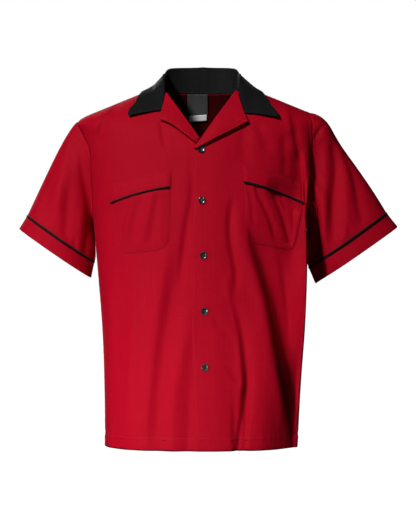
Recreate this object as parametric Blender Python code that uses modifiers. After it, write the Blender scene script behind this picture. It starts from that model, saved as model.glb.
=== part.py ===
"""Short-sleeved bowling shirt, worn shape with no wearer. Metres, +Z up, the front faces -Y.

The cloth hangs on a smooth form: level sections of a torso, closed at the top by two sloping
shoulders. A place on the form is an angle round it (0 at the front centre, 90 degrees at either
side, 180 at the back centre), a height, and a side (-1 at -X, +1 at +X). Each panel is a grid of
such places, moved out from the form and given a wall. What lies on a panel uses the same places,
moved further out. The origin is level with the top of the shoulders, in the middle of the neck.
"""

import math
from collections import namedtuple

import bmesh
import bpy
from mathutils import Vector

# --- Driving dimensions -------------------------------------------------------------------------
HEM_Z = -0.753  # shirt length below the neck
ARMPIT_Z = -0.290
WALL = 0.0015  # cloth
STIFF_WALL = 0.0016  # collar and lapels
SEAM_HALF = 0.0005  # half of the gap at a side or shoulder seam
SEAM_GAP = 0.0004
CLEAR = 0.0010  # between a panel and what lies on it
LAP_RISE = 0.0026  # the buttoned edge stands this far above the other front
LAP_WIDTH, LAP_FADE = 0.040, 0.045

NECK_HALF = {-1: 0.0745, 1: 0.0700}
RIDGE_TOP_Z = 0.006
SHOULDER_SLOPE = 0.408
SHOULDER_ROUND = 0.040

UNDERLAP = 0.019  # from the button line to the edge of the front underneath
BUTTON_Z = (-0.1415, -0.2448, -0.3554, -0.4684, -0.5824)
BUTTON_RADIUS, BUTTON_THICK, BUTTON_CLEAR = 0.0076, 0.0027, 0.0004

PIPING_RADIUS = 0.0019

RED, BLACK, WHITE = (0.36, 0.005, 0.018, 1), (0.012, 0.012, 0.012, 1), (0.75, 0.74, 0.72, 1)
BUTTON_BLACK = (0.010, 0.010, 0.011, 1)

# Level sections of the form: half-widths on each side, depths in front and behind, squareness.
Section = namedtuple("Section", "z minus plus front back square")
SECTIONS = [
    Section(-0.753, 0.205, 0.196, 0.126, 0.116, 2.40),
    Section(-0.640, 0.206, 0.204, 0.122, 0.111, 2.40),
    Section(-0.520, 0.210, 0.211, 0.121, 0.107, 2.40),
    Section(-0.400, 0.219, 0.215, 0.126, 0.110, 2.40),
    Section(-0.290, 0.229, 0.217, 0.129, 0.117, 2.40),
    Section(-0.190, 0.240, 0.232, 0.122, 0.120, 2.35),
    Section(-0.110, 0.256, 0.250, 0.107, 0.112, 2.30),
    Section(-0.060, 0.275, 0.268, 0.086, 0.097, 2.20),
    Section(-0.025, 0.280, 0.275, 0.066, 0.083, 2.15),
    Section(0.015, 0.280, 0.275, 0.036, 0.062, 2.10),
]

# The front edge and the button line, which drift a little as the shirt hangs.
Placket = namedtuple("Placket", "z edge_x button_x")
PLACKET = [
    Placket(-0.753, -0.0125, 0.0055),
    Placket(-0.647, -0.0175, 0.0050),
    Placket(-0.525, -0.0205, 0.0042),
    Placket(-0.400, -0.0215, 0.0024),
    Placket(-0.240, -0.0215, -0.0020),
    Placket(-0.143, -0.0175, -0.0030),
]

# How far the armhole seam runs in from the side, in degrees, from the armpit to its top.
Armhole = namedtuple("Armhole", "share front_minus front_plus back_minus back_plus")
ARMHOLE = [
    Armhole(0.00, 0.0, 0.0, 0.0, 0.0),
    Armhole(0.10, 9.0, 13.0, 10.0, 12.0),
    Armhole(0.25, 13.0, 18.5, 15.0, 17.0),
    Armhole(0.45, 17.0, 21.0, 17.5, 19.0),
    Armhole(0.60, 20.5, 22.0, 18.5, 20.0),
    Armhole(0.72, 21.5, 25.0, 18.5, 22.0),
    Armhole(0.82, 17.0, 29.0, 17.0, 24.0),
    Armhole(0.91, 13.5, 30.0, 13.5, 25.0),
    Armhole(0.97, 8.0, 20.0, 8.0, 17.0),
    Armhole(1.00, 0.0, 0.0, 0.0, 0.0),
]
ARMHOLE_TOP_Z = {-1: -0.070, 1: -0.054}

# The back of the neck seam, from its centre to the shoulder; x is a share of the neck's half-width.
NeckBack = namedtuple("NeckBack", "share x z")
NECK_BACK = [
    NeckBack(0.00, 0.00, -0.0100),
    NeckBack(0.30, 0.51, -0.0100),
    NeckBack(0.50, 0.85, -0.0085),
    NeckBack(0.64, 0.97, -0.0050),
    NeckBack(0.75, 0.99, -0.0010),
    NeckBack(1.00, 1.00, 0.0045),
]

# Ribs of the collar, from the centre back to the front end. rise and lean place the fold above
# the neck seam, mid is a point half-way down the leaf, and the leaf's edge is a place on the form.
Rib = namedtuple("Rib", "share rise lean mid_x mid_y mid_z edge_angle edge_z edge_out")
COLLAR_BACK = [
    Rib(0.00, 0.053, 0.004, 0.000, 0.088, 0.011, 180.0, -0.024, 0.006),
    Rib(0.25, 0.048, 0.004, 0.078, 0.062, 0.013, 133.0, -0.023, 0.006),
    Rib(0.36, 0.034, 0.004, 0.099, 0.036, 0.011, 110.0, -0.019, 0.006),
    Rib(0.50, 0.020, 0.004, 0.104, 0.000, 0.006, 90.0, -0.017, 0.005),
    Rib(0.75, 0.014, 0.004, 0.107, -0.046, -0.012, 49.0, -0.040, 0.006),
]
COLLAR_FRONT = {
    -1: Rib(1.00, 0.003, 0.000, 0.0838, -0.0852, -0.0562, 35.5, -0.0695, 0.007),
    1: Rib(1.00, 0.003, 0.000, 0.0840, -0.0886, -0.0618, 37.5, -0.0715, 0.007),
}
SIDE_SHARE = 0.5  # where the neck seam crosses the shoulder seam

# The line the lapel rolls on, from the front edge up to the neck.
Roll = namedtuple("Roll", "break_x break_z low_x low_z top_x top_z")
ROLL = {
    -1: Roll(-0.0160, -0.1480, 0.0067, -0.1217, 0.0785, -0.0225),
    1: Roll(-0.0175, -0.1430, -0.0012, -0.1217, 0.0725, -0.0175),
}
NECK_SIDE_Z = 0.0045
FOLD_RADIUS = 0.0026
STAND_ROWS, FOLD_ROWS, LEAF_ROWS = 3, 3, 5
LEAF_KNEE = 0.4  # where mid lies, as a share of the way down the leaf

# Lapels, as seen from the front: the lower end's two corners, the point, and the gorge.
Lapel = namedtuple(
    "Lapel",
    "side first_row lift roll_x roll_z lower_x lower_z point_share point_x point_z notch_x notch_z",
)
LAPELS = [
    Lapel(-1, 15, 0.0027, 0.0095, -0.1190, 0.0128, -0.1292, 0.6, 0.0885, -0.0810, 0.0818, -0.0572),
    Lapel(1, 14, 0.0047, -0.0160, -0.1412, -0.0105, -0.1388, 2 / 3, 0.0912, -0.0860, 0.0818, -0.0630),
]
LAPEL_FOLD_SHARE = 0.3  # of the way across, spent turning round the roll
LAPEL_GAP = 0.0013
LAPEL_TOP_GAP = 0.0040
LAPEL_LIFT = 0.0050  # of the middle of the cloth at the gorge

# Pockets, as seen from the front: the flap's four corners and the bag's two lower corners.
Pocket = namedtuple(
    "Pocket",
    "side inner_x outer_x top_inner_z top_outer_z pipe_inner_z pipe_outer_z "
    "bottom_inner_x bottom_outer_x bottom_inner_z bottom_outer_z inner_corner outer_corner",
)
POCKETS = [
    Pocket(
        -1, 0.065, 0.188, -0.181, -0.208, -0.217, -0.249, 0.067, 0.172, -0.343, -0.352, 0.030, 0.012
    ),
    Pocket(
        1, 0.0805, 0.204, -0.172, -0.204, -0.207, -0.248, 0.086, 0.186, -0.328, -0.345, 0.024, 0.014
    ),
]
FLAP_BOW = 0.004  # the flap's lower edge arches up this much
FLAP_OVER_BAG = 0.006

# Sleeves: the cuff seam and the cuff's edge, each by the ends of its width.
Sleeve = namedtuple(
    "Sleeve", "side seam_out_x seam_out_z seam_in_x seam_in_z edge_out_x edge_out_z "
    "edge_in_x edge_in_z half_depth fall_x"
)
SLEEVES = [
    Sleeve(-1, 0.3675, -0.273, 0.2290, -0.369, 0.3840, -0.300, 0.2360, -0.402, 0.064, 0.42),
    Sleeve(1, 0.3840, -0.267, 0.2230, -0.381, 0.4070, -0.296, 0.2370, -0.414, 0.055, 0.51),
]
SLEEVE_START, SLEEVE_END = 0.35, 0.95  # pull of each end on the loft, as shares of its length
CUFF_RISE = 0.0012

# The largest folds: a line down the front or back, its width, and how far it stands out or in.
Fold = namedtuple("Fold", "face side top_x top_z low_x low_z width depth")
FOLDS = [
    Fold("front", 1, 0.102, -0.335, 0.185, -0.700, 0.024, -0.013),
    Fold("front", 1, 0.058, -0.345, 0.086, -0.690, 0.015, -0.008),
    Fold("front", 1, 0.140, -0.330, 0.150, -0.740, 0.030, 0.006),
    Fold("front", -1, 0.098, -0.370, 0.145, -0.740, 0.026, 0.007),
    Fold("front", -1, 0.060, -0.420, 0.085, -0.750, 0.022, -0.005),
    Fold("back", 1, 0.075, -0.230, 0.110, -0.745, 0.034, -0.010),
    Fold("back", -1, 0.085, -0.250, 0.070, -0.745, 0.032, -0.010),
    Fold("back", 1, 0.005, -0.330, 0.010, -0.745, 0.030, 0.007),
]

FOLD_FREE = math.radians(16)  # folds die away this close to a side seam

# Grid of the panels: rows up to the armpit, the lapel's break, the roll's top and the shoulder.
ROW_ARMPIT, ROW_BREAK, ROW_ROLL, ROWS = 11, 14, 20, 25
FRONT_COLUMNS = 10
BACK_COLUMNS = 30
NECK_SHARE = 1 / 3  # of each half of the back's top


# --- Curves and places on the form ----------------------------------------------------------------
def lerp(a, b, share):
    return a + (b - a) * share


def smoothstep(low, high, value):
    share = min(max((value - low) / (high - low), 0.0), 1.0)
    return share * share * (3 - 2 * share)


def through(keys, values, at):
    """The value at a key, on a smooth curve through the values. They may be numbers or vectors."""
    last = len(keys) - 1
    at = min(max(at, keys[0]), keys[last])
    i = max(k for k in range(last) if keys[k] <= at)

    def slope(k):
        low, high = max(k - 1, 0), min(k + 1, last)
        return (values[high] - values[low]) / (keys[high] - keys[low])

    span = keys[i + 1] - keys[i]
    t = (at - keys[i]) / span
    return (
        values[i] * (1 + 2 * t) * (1 - t) ** 2
        + slope(i) * span * t * (1 - t) ** 2
        + values[i + 1] * t * t * (3 - 2 * t)
        + slope(i + 1) * span * t * t * (t - 1)
    )


def crowd_ends(share, amount):
    """An even share, changed so that the steps are smaller at both ends."""
    return lerp(share, 0.5 - 0.5 * math.cos(math.pi * share), amount)


def column(table, key, name, at):
    keys = [getattr(row, key) for row in table]
    return through(keys, [getattr(row, name) for row in table], at)


def smaller(a, b, rounding):
    """The smaller of two lengths, with a rounded change-over."""
    near = max(rounding - abs(a - b), 0.0) / rounding
    return min(a, b) - near * near * rounding / 4


def half_width(z, side):
    body = column(SECTIONS, "z", "plus" if side > 0 else "minus", z)
    ridge = NECK_HALF[side] + (RIDGE_TOP_Z - z) / SHOULDER_SLOPE
    return smaller(body, ridge, SHOULDER_ROUND)


def on_form(angle, z, side):
    """The form's point at an angle from the front centre, 0 to 180 degrees, on one side."""
    power = 2 / column(SECTIONS, "z", "square", z)
    depth = column(SECTIONS, "z", "front" if angle < math.pi / 2 else "back", z)
    across, along = math.sin(angle), math.cos(angle)
    x = side * half_width(z, side) * math.copysign(abs(across) ** power, across)
    y = -depth * math.copysign(abs(along) ** power, along)
    return Vector((x, y, z))


def form_normal(angle, z, side, step=0.004):
    round_it = on_form(angle + step, z, side) - on_form(angle - step, z, side)
    up_it = on_form(angle, z + step, side) - on_form(angle, z - step, side)
    return round_it.cross(up_it).normalized() * side


def angle_at(x, z, side):
    """The angle at which the form's front has this x, where x grows towards the side."""
    share = x / half_width(z, side)
    square = column(SECTIONS, "z", "square", z)
    return math.copysign(math.asin(min(abs(share), 1.0) ** (square / 2)), share)


def fold_depth(point, face):
    """How far the folds move the cloth out at a point of the form."""
    out = 0.0
    for fold in FOLDS:
        if fold.face != face:
            continue
        top = Vector((fold.side * fold.top_x, fold.top_z))
        run = Vector((fold.side * fold.low_x, fold.low_z)) - top
        place = Vector((point.x, point.z)) - top
        share = place.dot(run) / run.length_squared
        across = (place - run * share).length
        fade = smoothstep(-0.1, 0.35, share) * (1 - smoothstep(1.1, 1.5, share))
        out += fold.depth * fade * math.exp(-((across / fold.width) ** 2))
    return out


def button_x(z):
    return column(PLACKET, "z", "button_x", z)


def front_edge_x(z, side):
    """Towards the side, the x of a front's own edge below its lapel."""
    return column(PLACKET, "z", "edge_x", z) if side > 0 else -button_x(z) - UNDERLAP


def lap(point, side):
    """How far the buttoned front is lifted over the other one."""
    if side < 0:
        return 0.0
    from_edge = point.x - front_edge_x(point.z, side)
    return LAP_RISE * (1 - smoothstep(LAP_WIDTH, LAP_WIDTH + LAP_FADE, from_edge))


def seam_turn(z):
    """The small angle that leaves half a gap at the side or shoulder seam."""
    depth = column(SECTIONS, "z", "front", z)
    return (SEAM_HALF / depth) ** (column(SECTIONS, "z", "square", z) / 2)


def skin(angle, z, side, out=0.0):
    """A point of the cloth's outer face, moved out by a distance."""
    point = on_form(angle, z, side)
    face = "front" if angle < math.pi / 2 else "back"
    out += fold_depth(point, face) * smoothstep(0, FOLD_FREE, abs(angle - math.pi / 2))
    if face == "front":
        out += lap(point, side)
    return point + form_normal(angle, z, side) * out


def front_skin(x, z, side, out=0.0):
    """As skin, for a place given by its x and z as seen from the front."""
    return skin(angle_at(x, z, side), z, side, out)


# --- Outlines of the panels -------------------------------------------------------------------------
def armhole(side, face, share, gap=1):
    """(angle, z) on the armhole seam, from the armpit at 0 to its top at 1."""
    name = f"{face}_{'plus' if side > 0 else 'minus'}"
    z = lerp(ARMPIT_Z, ARMHOLE_TOP_Z[side], share)
    dip = math.radians(column(ARMHOLE, "share", name, share)) + gap * seam_turn(z)
    return math.pi / 2 + (dip if face == "back" else -dip), z


def neck_front(side, part):
    """(x, z) round the front of the neck, from the shoulder at 0 to the lapel's roll at 1."""
    x = lerp(half_width(NECK_SIDE_Z, side), ROLL[side].top_x, part)
    return x, lerp(NECK_SIDE_Z, ROLL[side].top_z, part)


def neck_back(side, part):
    """(x, z) round the back of the neck, from the centre at 0 to the shoulder at 1."""
    x = column(NECK_BACK, "share", "x", part) * half_width(NECK_SIDE_Z, side)
    return x, column(NECK_BACK, "share", "z", part)


def face_angle(x, z, side, face):
    """The angle of a place on one face, kept half a seam gap from the shoulder or side seam."""
    angle = min(angle_at(x, z, side), math.pi / 2 - seam_turn(z))
    return math.pi - angle if face == "back" else angle


def neck_seam(share, out=0.0):
    """A point of the neck seam: 0 at the centre back, -1 and 1 at its front ends."""
    side = 1 if share >= 0 else -1
    share = abs(share)
    if share <= SIDE_SHARE:
        x, z = neck_back(side, share / SIDE_SHARE)
        return skin(face_angle(x, z, side, "back"), z, side, out)
    x, z = neck_front(side, (share - SIDE_SHARE) / (1 - SIDE_SHARE))
    return skin(face_angle(x, z, side, "front"), z, side, out)


def roll_line(side, row):
    """(x, z) up the line the lapel turns on; its second station is one row up."""
    roll = ROLL[side]
    if row < ROW_BREAK + 1:
        part = row - ROW_BREAK
        return lerp(roll.break_x, roll.low_x, part), lerp(roll.break_z, roll.low_z, part)
    part = (row - ROW_BREAK - 1) / (ROW_ROLL - ROW_BREAK - 1)
    return lerp(roll.low_x, roll.top_x, part), lerp(roll.low_z, roll.top_z, part)


def front_edge(side, row):
    """(x, z) up the front edge, along the lapel's roll, and round the neck."""
    if row > ROW_ROLL:
        return neck_front(side, (ROWS - row) / (ROWS - ROW_ROLL))
    if row >= ROW_BREAK:
        return roll_line(side, row)
    if row > ROW_ARMPIT:
        part = (row - ROW_ARMPIT) / (ROW_BREAK - ROW_ARMPIT)
        z = lerp(ARMPIT_Z, ROLL[side].break_z, part)
    else:
        z = lerp(HEM_Z, ARMPIT_Z, row / ROW_ARMPIT)
    return front_edge_x(z, side), z


def back_centre(side, row):
    if row > ROW_ARMPIT:
        return 0.0, lerp(ARMPIT_Z, NECK_BACK[0].z, (row - ROW_ARMPIT) / (ROWS - ROW_ARMPIT))
    return 0.0, lerp(HEM_Z, ARMPIT_Z, row / ROW_ARMPIT)


def shoulder(side, part):
    z = lerp(NECK_SIDE_Z, ARMHOLE_TOP_Z[side], part)
    return half_width(z, side), z


def panel_top(side, face, share):
    """(x, z) along a panel's top, from its inner end to the armhole."""
    if face == "front":
        return shoulder(side, share)
    if share <= NECK_SHARE:
        return neck_back(side, share / NECK_SHARE)
    return shoulder(side, (share - NECK_SHARE) / (1 - NECK_SHARE))


def panel_point(side, face, share, up):
    """A panel's point: share runs from its inner edge to the side, up from the hem."""
    row = up * ROWS
    inner = front_edge if face == "front" else back_centre

    def turned(x, z):
        angle = angle_at(x, z, side)
        return math.pi - angle if face == "back" else angle

    if row <= ROW_ARMPIT:
        x, z = inner(side, row)
        side_angle = math.pi / 2 + (seam_turn(z) if face == "back" else -seam_turn(z))
        return skin(lerp(turned(x, z), side_angle, share), z, side)

    def sideways(angle, z):
        return side * on_form(angle, z, side).x, z

    # Above the armpit: a patch between the inner edge, the armhole, the armpit's level and the top.
    rise = (row - ROW_ARMPIT) / (ROWS - ROW_ARMPIT)
    low_angle = turned(*inner(side, ROW_ARMPIT))
    low = sideways(lerp(low_angle, math.pi / 2, share), ARMPIT_Z)
    high = panel_top(side, face, share)
    start, end = inner(side, row), sideways(*armhole(side, face, rise))
    corners = (
        inner(side, ROW_ARMPIT),
        sideways(*armhole(side, face, 0)),
        panel_top(side, face, 0),
        panel_top(side, face, 1),
    )
    x, z = (
        lerp(start[i], end[i], share)
        + lerp(low[i], high[i], rise)
        - lerp(
            lerp(corners[0][i], corners[1][i], share),
            lerp(corners[2][i], corners[3][i], share),
            rise,
        )
        for i in (0, 1)
    )
    return skin(face_angle(x, z, side, face), z, side)


def front_place(side):
    return lambda across, up: panel_point(side, "front", across, up)


def back_place(across, up):
    return panel_point(-1 if across < 0.5 else 1, "back", abs(across - 0.5) * 2, up)


# --- Sleeves ----------------------------------------------------------------------------------------
def armhole_ring(side, turn):
    """The armhole seam as a ring: 0 at its top, a quarter at the front, a half at the armpit."""
    if turn <= 0.5:
        angle, z = armhole(side, "front", 1 - 2 * turn, gap=0)
    else:
        angle, z = armhole(side, "back", 2 * turn - 1, gap=0)
    return skin(angle, z, side)


def width_ring(sleeve, out_x, out_z, in_x, in_z, turn, grow=0.0):
    """A flattened ring across a sleeve, from the outer end of its width round the front."""
    outer = Vector((sleeve.side * out_x, 0, out_z))
    inner = Vector((sleeve.side * in_x, 0, in_z))
    middle, arm = (outer + inner) / 2, (outer - inner) / 2
    arm += arm.normalized() * grow
    forward = Vector((0, -sleeve.half_depth - grow, 0))
    angle = 2 * math.pi * turn
    return middle + arm * math.cos(angle) + forward * math.sin(angle)


def cuff_seam_ring(sleeve, turn, grow=0.0):
    return width_ring(sleeve, *sleeve[1:5], turn, grow)


def cuff_edge_ring(sleeve, turn, grow=0.0):
    return width_ring(sleeve, *sleeve[5:9], turn, grow)


def sleeve_place(sleeve):
    """The sleeve's points: round from the top of the shoulder, along from the armhole."""

    def place(turn, along):
        start = armhole_ring(sleeve.side, turn)
        end = cuff_seam_ring(sleeve, turn)
        chord = (end - start).length
        leave = Vector((sleeve.side * 0.93, -start.y * 9, -0.37)).normalized()
        arrive = Vector((sleeve.side * sleeve.fall_x, 0, -0.9)).normalized()
        start = start + leave * SEAM_GAP
        t = along
        return (
            start * (1 + 2 * t) * (1 - t) ** 2
            + leave * chord * SLEEVE_START * t * (1 - t) ** 2
            + end * t * t * (3 - 2 * t)
            + arrive * chord * SLEEVE_END * t * t * (t - 1)
        )

    return place


def cuff_place(sleeve):
    def place(turn, along):
        first = cuff_seam_ring(sleeve, turn, CUFF_RISE)
        last = cuff_edge_ring(sleeve, turn, CUFF_RISE)
        gap = (last - first).normalized() * SEAM_GAP
        return lerp(first + gap, last, along)

    return place


# --- Collar and lapels ------------------------------------------------------------------------------
def collar_lines(share):
    """The seam, fold, mid and edge points of the collar, 0 at the centre back."""
    side = 1 if share >= 0 else -1
    ribs = COLLAR_BACK + [COLLAR_FRONT[side]]

    def at(name):
        return column(ribs, "share", name, abs(share))

    seam = neck_seam(share, SEAM_GAP)
    away = Vector((seam.x, seam.y, 0)).normalized()
    fold = seam + Vector((0, 0, at("rise"))) + away * at("lean")
    mid = Vector((side * at("mid_x"), at("mid_y"), at("mid_z")))
    edge = skin(math.radians(at("edge_angle")), at("edge_z"), side, at("edge_out"))
    return seam, fold, mid, edge


def collar_place(across, up):
    """The collar's points: across from one front end to the other, up the stand and down the leaf."""
    seam, fold, mid, edge = collar_lines(across * 2 - 1)
    rise, leaf = (fold - seam).normalized(), mid - fold
    away = (leaf - leaf.project(rise)).normalized()
    row = up * (STAND_ROWS + FOLD_ROWS + LEAF_ROWS)
    if row < STAND_ROWS:
        return lerp(seam, fold - away * FOLD_RADIUS, row / STAND_ROWS)
    row -= STAND_ROWS
    if row < FOLD_ROWS:
        turn = math.pi * row / FOLD_ROWS
        return fold + (rise * math.sin(turn) - away * math.cos(turn)) * FOLD_RADIUS
    part = (row - FOLD_ROWS) / LEAF_ROWS
    if part < LEAF_KNEE:
        return lerp(fold + away * FOLD_RADIUS, mid, part / LEAF_KNEE)
    return lerp(mid, edge, (part - LEAF_KNEE) / (1 - LEAF_KNEE))


def lapel_place(lapel):
    """The lapel's points: across from the roll to the outer edge, up from the break to the gorge."""
    side = lapel.side
    roll = ROLL[side]
    slope = Vector((roll.top_x - roll.low_x, 0, roll.top_z - roll.low_z)).normalized()
    beyond = Vector((-side * slope.z, 0, slope.x))  # out into the neck opening

    def outer(up):
        lower, notch = (lapel.lower_x, lapel.lower_z), (lapel.notch_x, lapel.notch_z)
        point = (lapel.point_x, lapel.point_z)
        if up < lapel.point_share:
            start, end, part = lower, point, up / lapel.point_share
        else:
            start, end, part = point, notch, (up - lapel.point_share) / (1 - lapel.point_share)
        return [lerp(a, b, part) for a, b in zip(start, end)]

    def place(across, up):
        if up == 0:
            turned = lapel.roll_x, lapel.roll_z
        else:
            turned = roll_line(side, lerp(lapel.first_row, ROW_ROLL, up))
        down = LAPEL_TOP_GAP * up**4
        turned = turned[0] - slope.x * down, turned[1] - slope.z * down
        lift = lerp(lapel.lift, LAPEL_LIFT, up)
        if across >= LAPEL_FOLD_SHARE:
            part = (across - LAPEL_FOLD_SHARE) / (1 - LAPEL_FOLD_SHARE)
            spot = (lerp(a, b, part) for a, b in zip(turned, outer(up)))
            return front_skin(*spot, side, lift)
        angle = math.pi * across / LAPEL_FOLD_SHARE
        radius = lift / 2
        base = front_skin(*turned, side, radius - radius * math.cos(angle))
        return base + beyond * (radius * math.sin(angle) + LAPEL_GAP)

    return place


# --- Pockets ----------------------------------------------------------------------------------------
def pocket_line(pocket, inner_z, outer_z, across, bow=0.0):
    x = lerp(pocket.inner_x, pocket.outer_x, across)
    return x, lerp(inner_z, outer_z, across) + bow * 4 * across * (1 - across)


def flap_low(pocket, across):
    return pocket_line(pocket, pocket.pipe_inner_z, pocket.pipe_outer_z, across, FLAP_BOW)


def bag_place(pocket):
    """The pocket bag's points: across from its inner side, up from its rounded bottom."""
    out = CLEAR + WALL

    def place(across, up):
        across = crowd_ends(across, 0.7)
        top_x, top_z = flap_low(pocket, across)
        low_x = lerp(pocket.bottom_inner_x, pocket.bottom_outer_x, across)
        low_z = lerp(pocket.bottom_inner_z, pocket.bottom_outer_z, across)
        width = pocket.bottom_outer_x - pocket.bottom_inner_x
        for corner, away in (
            (pocket.inner_corner, across * width),
            (pocket.outer_corner, (1 - across) * width),
        ):
            reach = max(corner - away, 0.0)
            low_z += corner - math.sqrt(corner**2 - reach**2)
        x, z = lerp(low_x, top_x, up), lerp(low_z, top_z + FLAP_OVER_BAG, up)
        return front_skin(x, z, pocket.side, out)

    return place


def flap_place(pocket):
    """The flap's points: across from its inner end, up from its piped edge."""
    out = 2 * CLEAR + 2 * WALL

    def place(across, up):
        low = flap_low(pocket, across)
        top = pocket_line(pocket, pocket.top_inner_z, pocket.top_outer_z, across)
        raise_low = PIPING_RADIUS + SEAM_GAP
        x, z = lerp(low[0], top[0], up), lerp(low[1] + raise_low, top[1], up)
        return front_skin(x, z, pocket.side, out)

    return place


# --- Making the solids ------------------------------------------------------------------------------
def clear_scene():
    for obj in list(bpy.data.objects):
        bpy.data.objects.remove(obj)


def collection(name):
    made = bpy.data.collections.new(name)
    bpy.context.scene.collection.children.link(made)
    return made


def material(name, colour, roughness, metallic=0.0):
    made = bpy.data.materials.new(name)
    made.use_nodes = True
    shader = made.node_tree.nodes["Principled BSDF"]
    shader.inputs["Base Color"].default_value = colour
    shader.inputs["Roughness"].default_value = roughness
    shader.inputs["Metallic"].default_value = metallic
    made.diffuse_color = colour
    return made


def finished(name, mesh, finish):
    mesh.materials.append(finish)
    made = bpy.data.objects.new(name, mesh)
    SHIRT.objects.link(made)
    return made


def cloth(name, cells, place, finish, thickness=WALL, offset=-1.0, closed=False):
    """A grid of cells, placed point by point, with a wall. The wall grows inwards from the grid."""
    grid = bmesh.new()
    bmesh.ops.create_grid(grid, x_segments=cells[0], y_segments=cells[1], size=0.5)
    for vertex in grid.verts:
        vertex.co = place(vertex.co.x + 0.5, vertex.co.y + 0.5)
    if closed:
        bmesh.ops.remove_doubles(grid, verts=grid.verts, dist=1e-5)
    grid.normal_update()
    core = sum((v.co for v in grid.verts), Vector()) / len(grid.verts)
    core.y = core.y if closed else 0.0
    facing = sum((f.calc_center_median() - core).dot(f.normal) * f.calc_area() for f in grid.faces)
    if facing < 0:
        bmesh.ops.reverse_faces(grid, faces=grid.faces)
    mesh = bpy.data.meshes.new(name)
    grid.to_mesh(mesh)
    grid.free()
    made = finished(name, mesh, finish)
    wall = made.modifiers.new("Wall", "SOLIDIFY")
    wall.thickness = thickness
    wall.offset = offset
    wall.use_even_offset = True
    mesh.shade_smooth()
    return made


def cord(name, points, finish, closed=False):
    """Round piping along a line of points."""
    curve = bpy.data.curves.new(name, "CURVE")
    curve.dimensions = "3D"
    curve.bevel_depth = PIPING_RADIUS
    curve.bevel_resolution = 2
    curve.use_fill_caps = True
    line = curve.splines.new("POLY")
    line.points.add(len(points) - 1)
    for spot, point in zip(line.points, points):
        spot.co = (*point, 1)
    line.use_cyclic_u = closed
    return finished(name, curve, finish)


def button_mesh(finish):
    """A round button with a raised rim, a dished face and four holes."""
    radius, thick = BUTTON_RADIUS, BUTTON_THICK
    profile = [
        (radius * 0.55, 0.0),
        (radius * 0.86, 0.0006),
        (radius, thick * 0.55),
        (radius * 0.97, thick * 0.88),
        (radius * 0.86, thick),
        (radius * 0.66, thick * 0.86),
        (radius * 0.50, thick * 0.66),
    ]
    turned = bmesh.new()
    spots = [turned.verts.new((x, 0, z)) for x, z in profile]
    spots.insert(0, turned.verts.new((0, 0, 0)))
    spots.append(turned.verts.new((0, 0, thick * 0.62)))
    edges = [turned.edges.new(pair) for pair in zip(spots, spots[1:])]
    bmesh.ops.spin(
        turned, geom=spots + edges, axis=(0, 0, 1), cent=(0, 0, 0),
        angle=2 * math.pi, steps=16, use_merge=True, use_duplicate=False,
    )
    bmesh.ops.remove_doubles(turned, verts=turned.verts, dist=1e-6)
    bmesh.ops.recalc_face_normals(turned, faces=turned.faces)
    blank_mesh = bpy.data.meshes.new("button_blank")
    turned.to_mesh(blank_mesh)
    turned.free()

    drills = bmesh.new()
    for quarter in range(4):
        angle = math.pi / 4 + quarter * math.pi / 2
        spot = Vector((math.cos(angle), math.sin(angle), 0)) * 0.0019
        made = bmesh.ops.create_cone(
            drills, cap_ends=True, segments=6, radius1=0.0008, radius2=0.0008, depth=0.01
        )
        bmesh.ops.translate(drills, vec=spot, verts=made["verts"])
    drill_mesh = bpy.data.meshes.new("button_drills")
    drills.to_mesh(drill_mesh)
    drills.free()

    blank = bpy.data.objects.new("button_blank", blank_mesh)
    drill = bpy.data.objects.new("button_drills", drill_mesh)
    for helper in (blank, drill):
        CUTTERS.objects.link(helper)
        helper.hide_render = True
        helper.display_type = "WIRE"
    cut = blank.modifiers.new("Holes", "BOOLEAN")
    cut.operation = "DIFFERENCE"
    cut.object = drill
    bpy.context.view_layer.update()
    drilled = blank.evaluated_get(bpy.context.evaluated_depsgraph_get())
    mesh = bpy.data.meshes.new_from_object(drilled)
    mesh.name = "button"
    mesh.materials.append(finish)
    blank.modifiers.remove(cut)
    return mesh


def build_body(red):
    cells = (FRONT_COLUMNS, ROWS)
    cloth("front_plus", cells, front_place(1), red)
    cloth("front_minus", cells, front_place(-1), red)
    cloth("back", (BACK_COLUMNS, ROWS), back_place, red)


def build_sleeves(red, black):
    names = {-1: "minus", 1: "plus"}
    round_cells = 2 * (ROWS - ROW_ARMPIT)
    for sleeve in SLEEVES:
        name = names[sleeve.side]
        cloth(f"sleeve_{name}", (round_cells, 7), sleeve_place(sleeve), red, closed=True)
        cloth(f"cuff_{name}", (round_cells, 2), cuff_place(sleeve), red, closed=True)
        grow = CUFF_RISE + CLEAR / 2 + PIPING_RADIUS
        ring = [cuff_seam_ring(sleeve, i / round_cells, grow) for i in range(round_cells)]
        cord(f"cuff_piping_{name}", ring, black, closed=True)


def build_collar(red, black):
    cells = (20, STAND_ROWS + FOLD_ROWS + LEAF_ROWS)
    cloth("collar", cells, collar_place, black, STIFF_WALL, 0.0)
    for lapel in LAPELS:
        name = "lapel_plus" if lapel.side > 0 else "lapel_minus"
        cells = (10, ROW_ROLL - lapel.first_row)
        cloth(name, cells, lapel_place(lapel), red, STIFF_WALL, 0.0)


def build_pockets(red, black):
    names = {-1: "minus", 1: "plus"}
    steps = 12
    for pocket in POCKETS:
        name = names[pocket.side]
        cloth(f"pocket_{name}", (8, 7), bag_place(pocket), red)
        cloth(f"pocket_flap_{name}", (8, 2), flap_place(pocket), red)
        out = 2 * CLEAR + WALL + PIPING_RADIUS
        line = [front_skin(*flap_low(pocket, i / steps), pocket.side, out) for i in range(steps + 1)]
        cord(f"pocket_piping_{name}", line, black)


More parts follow.
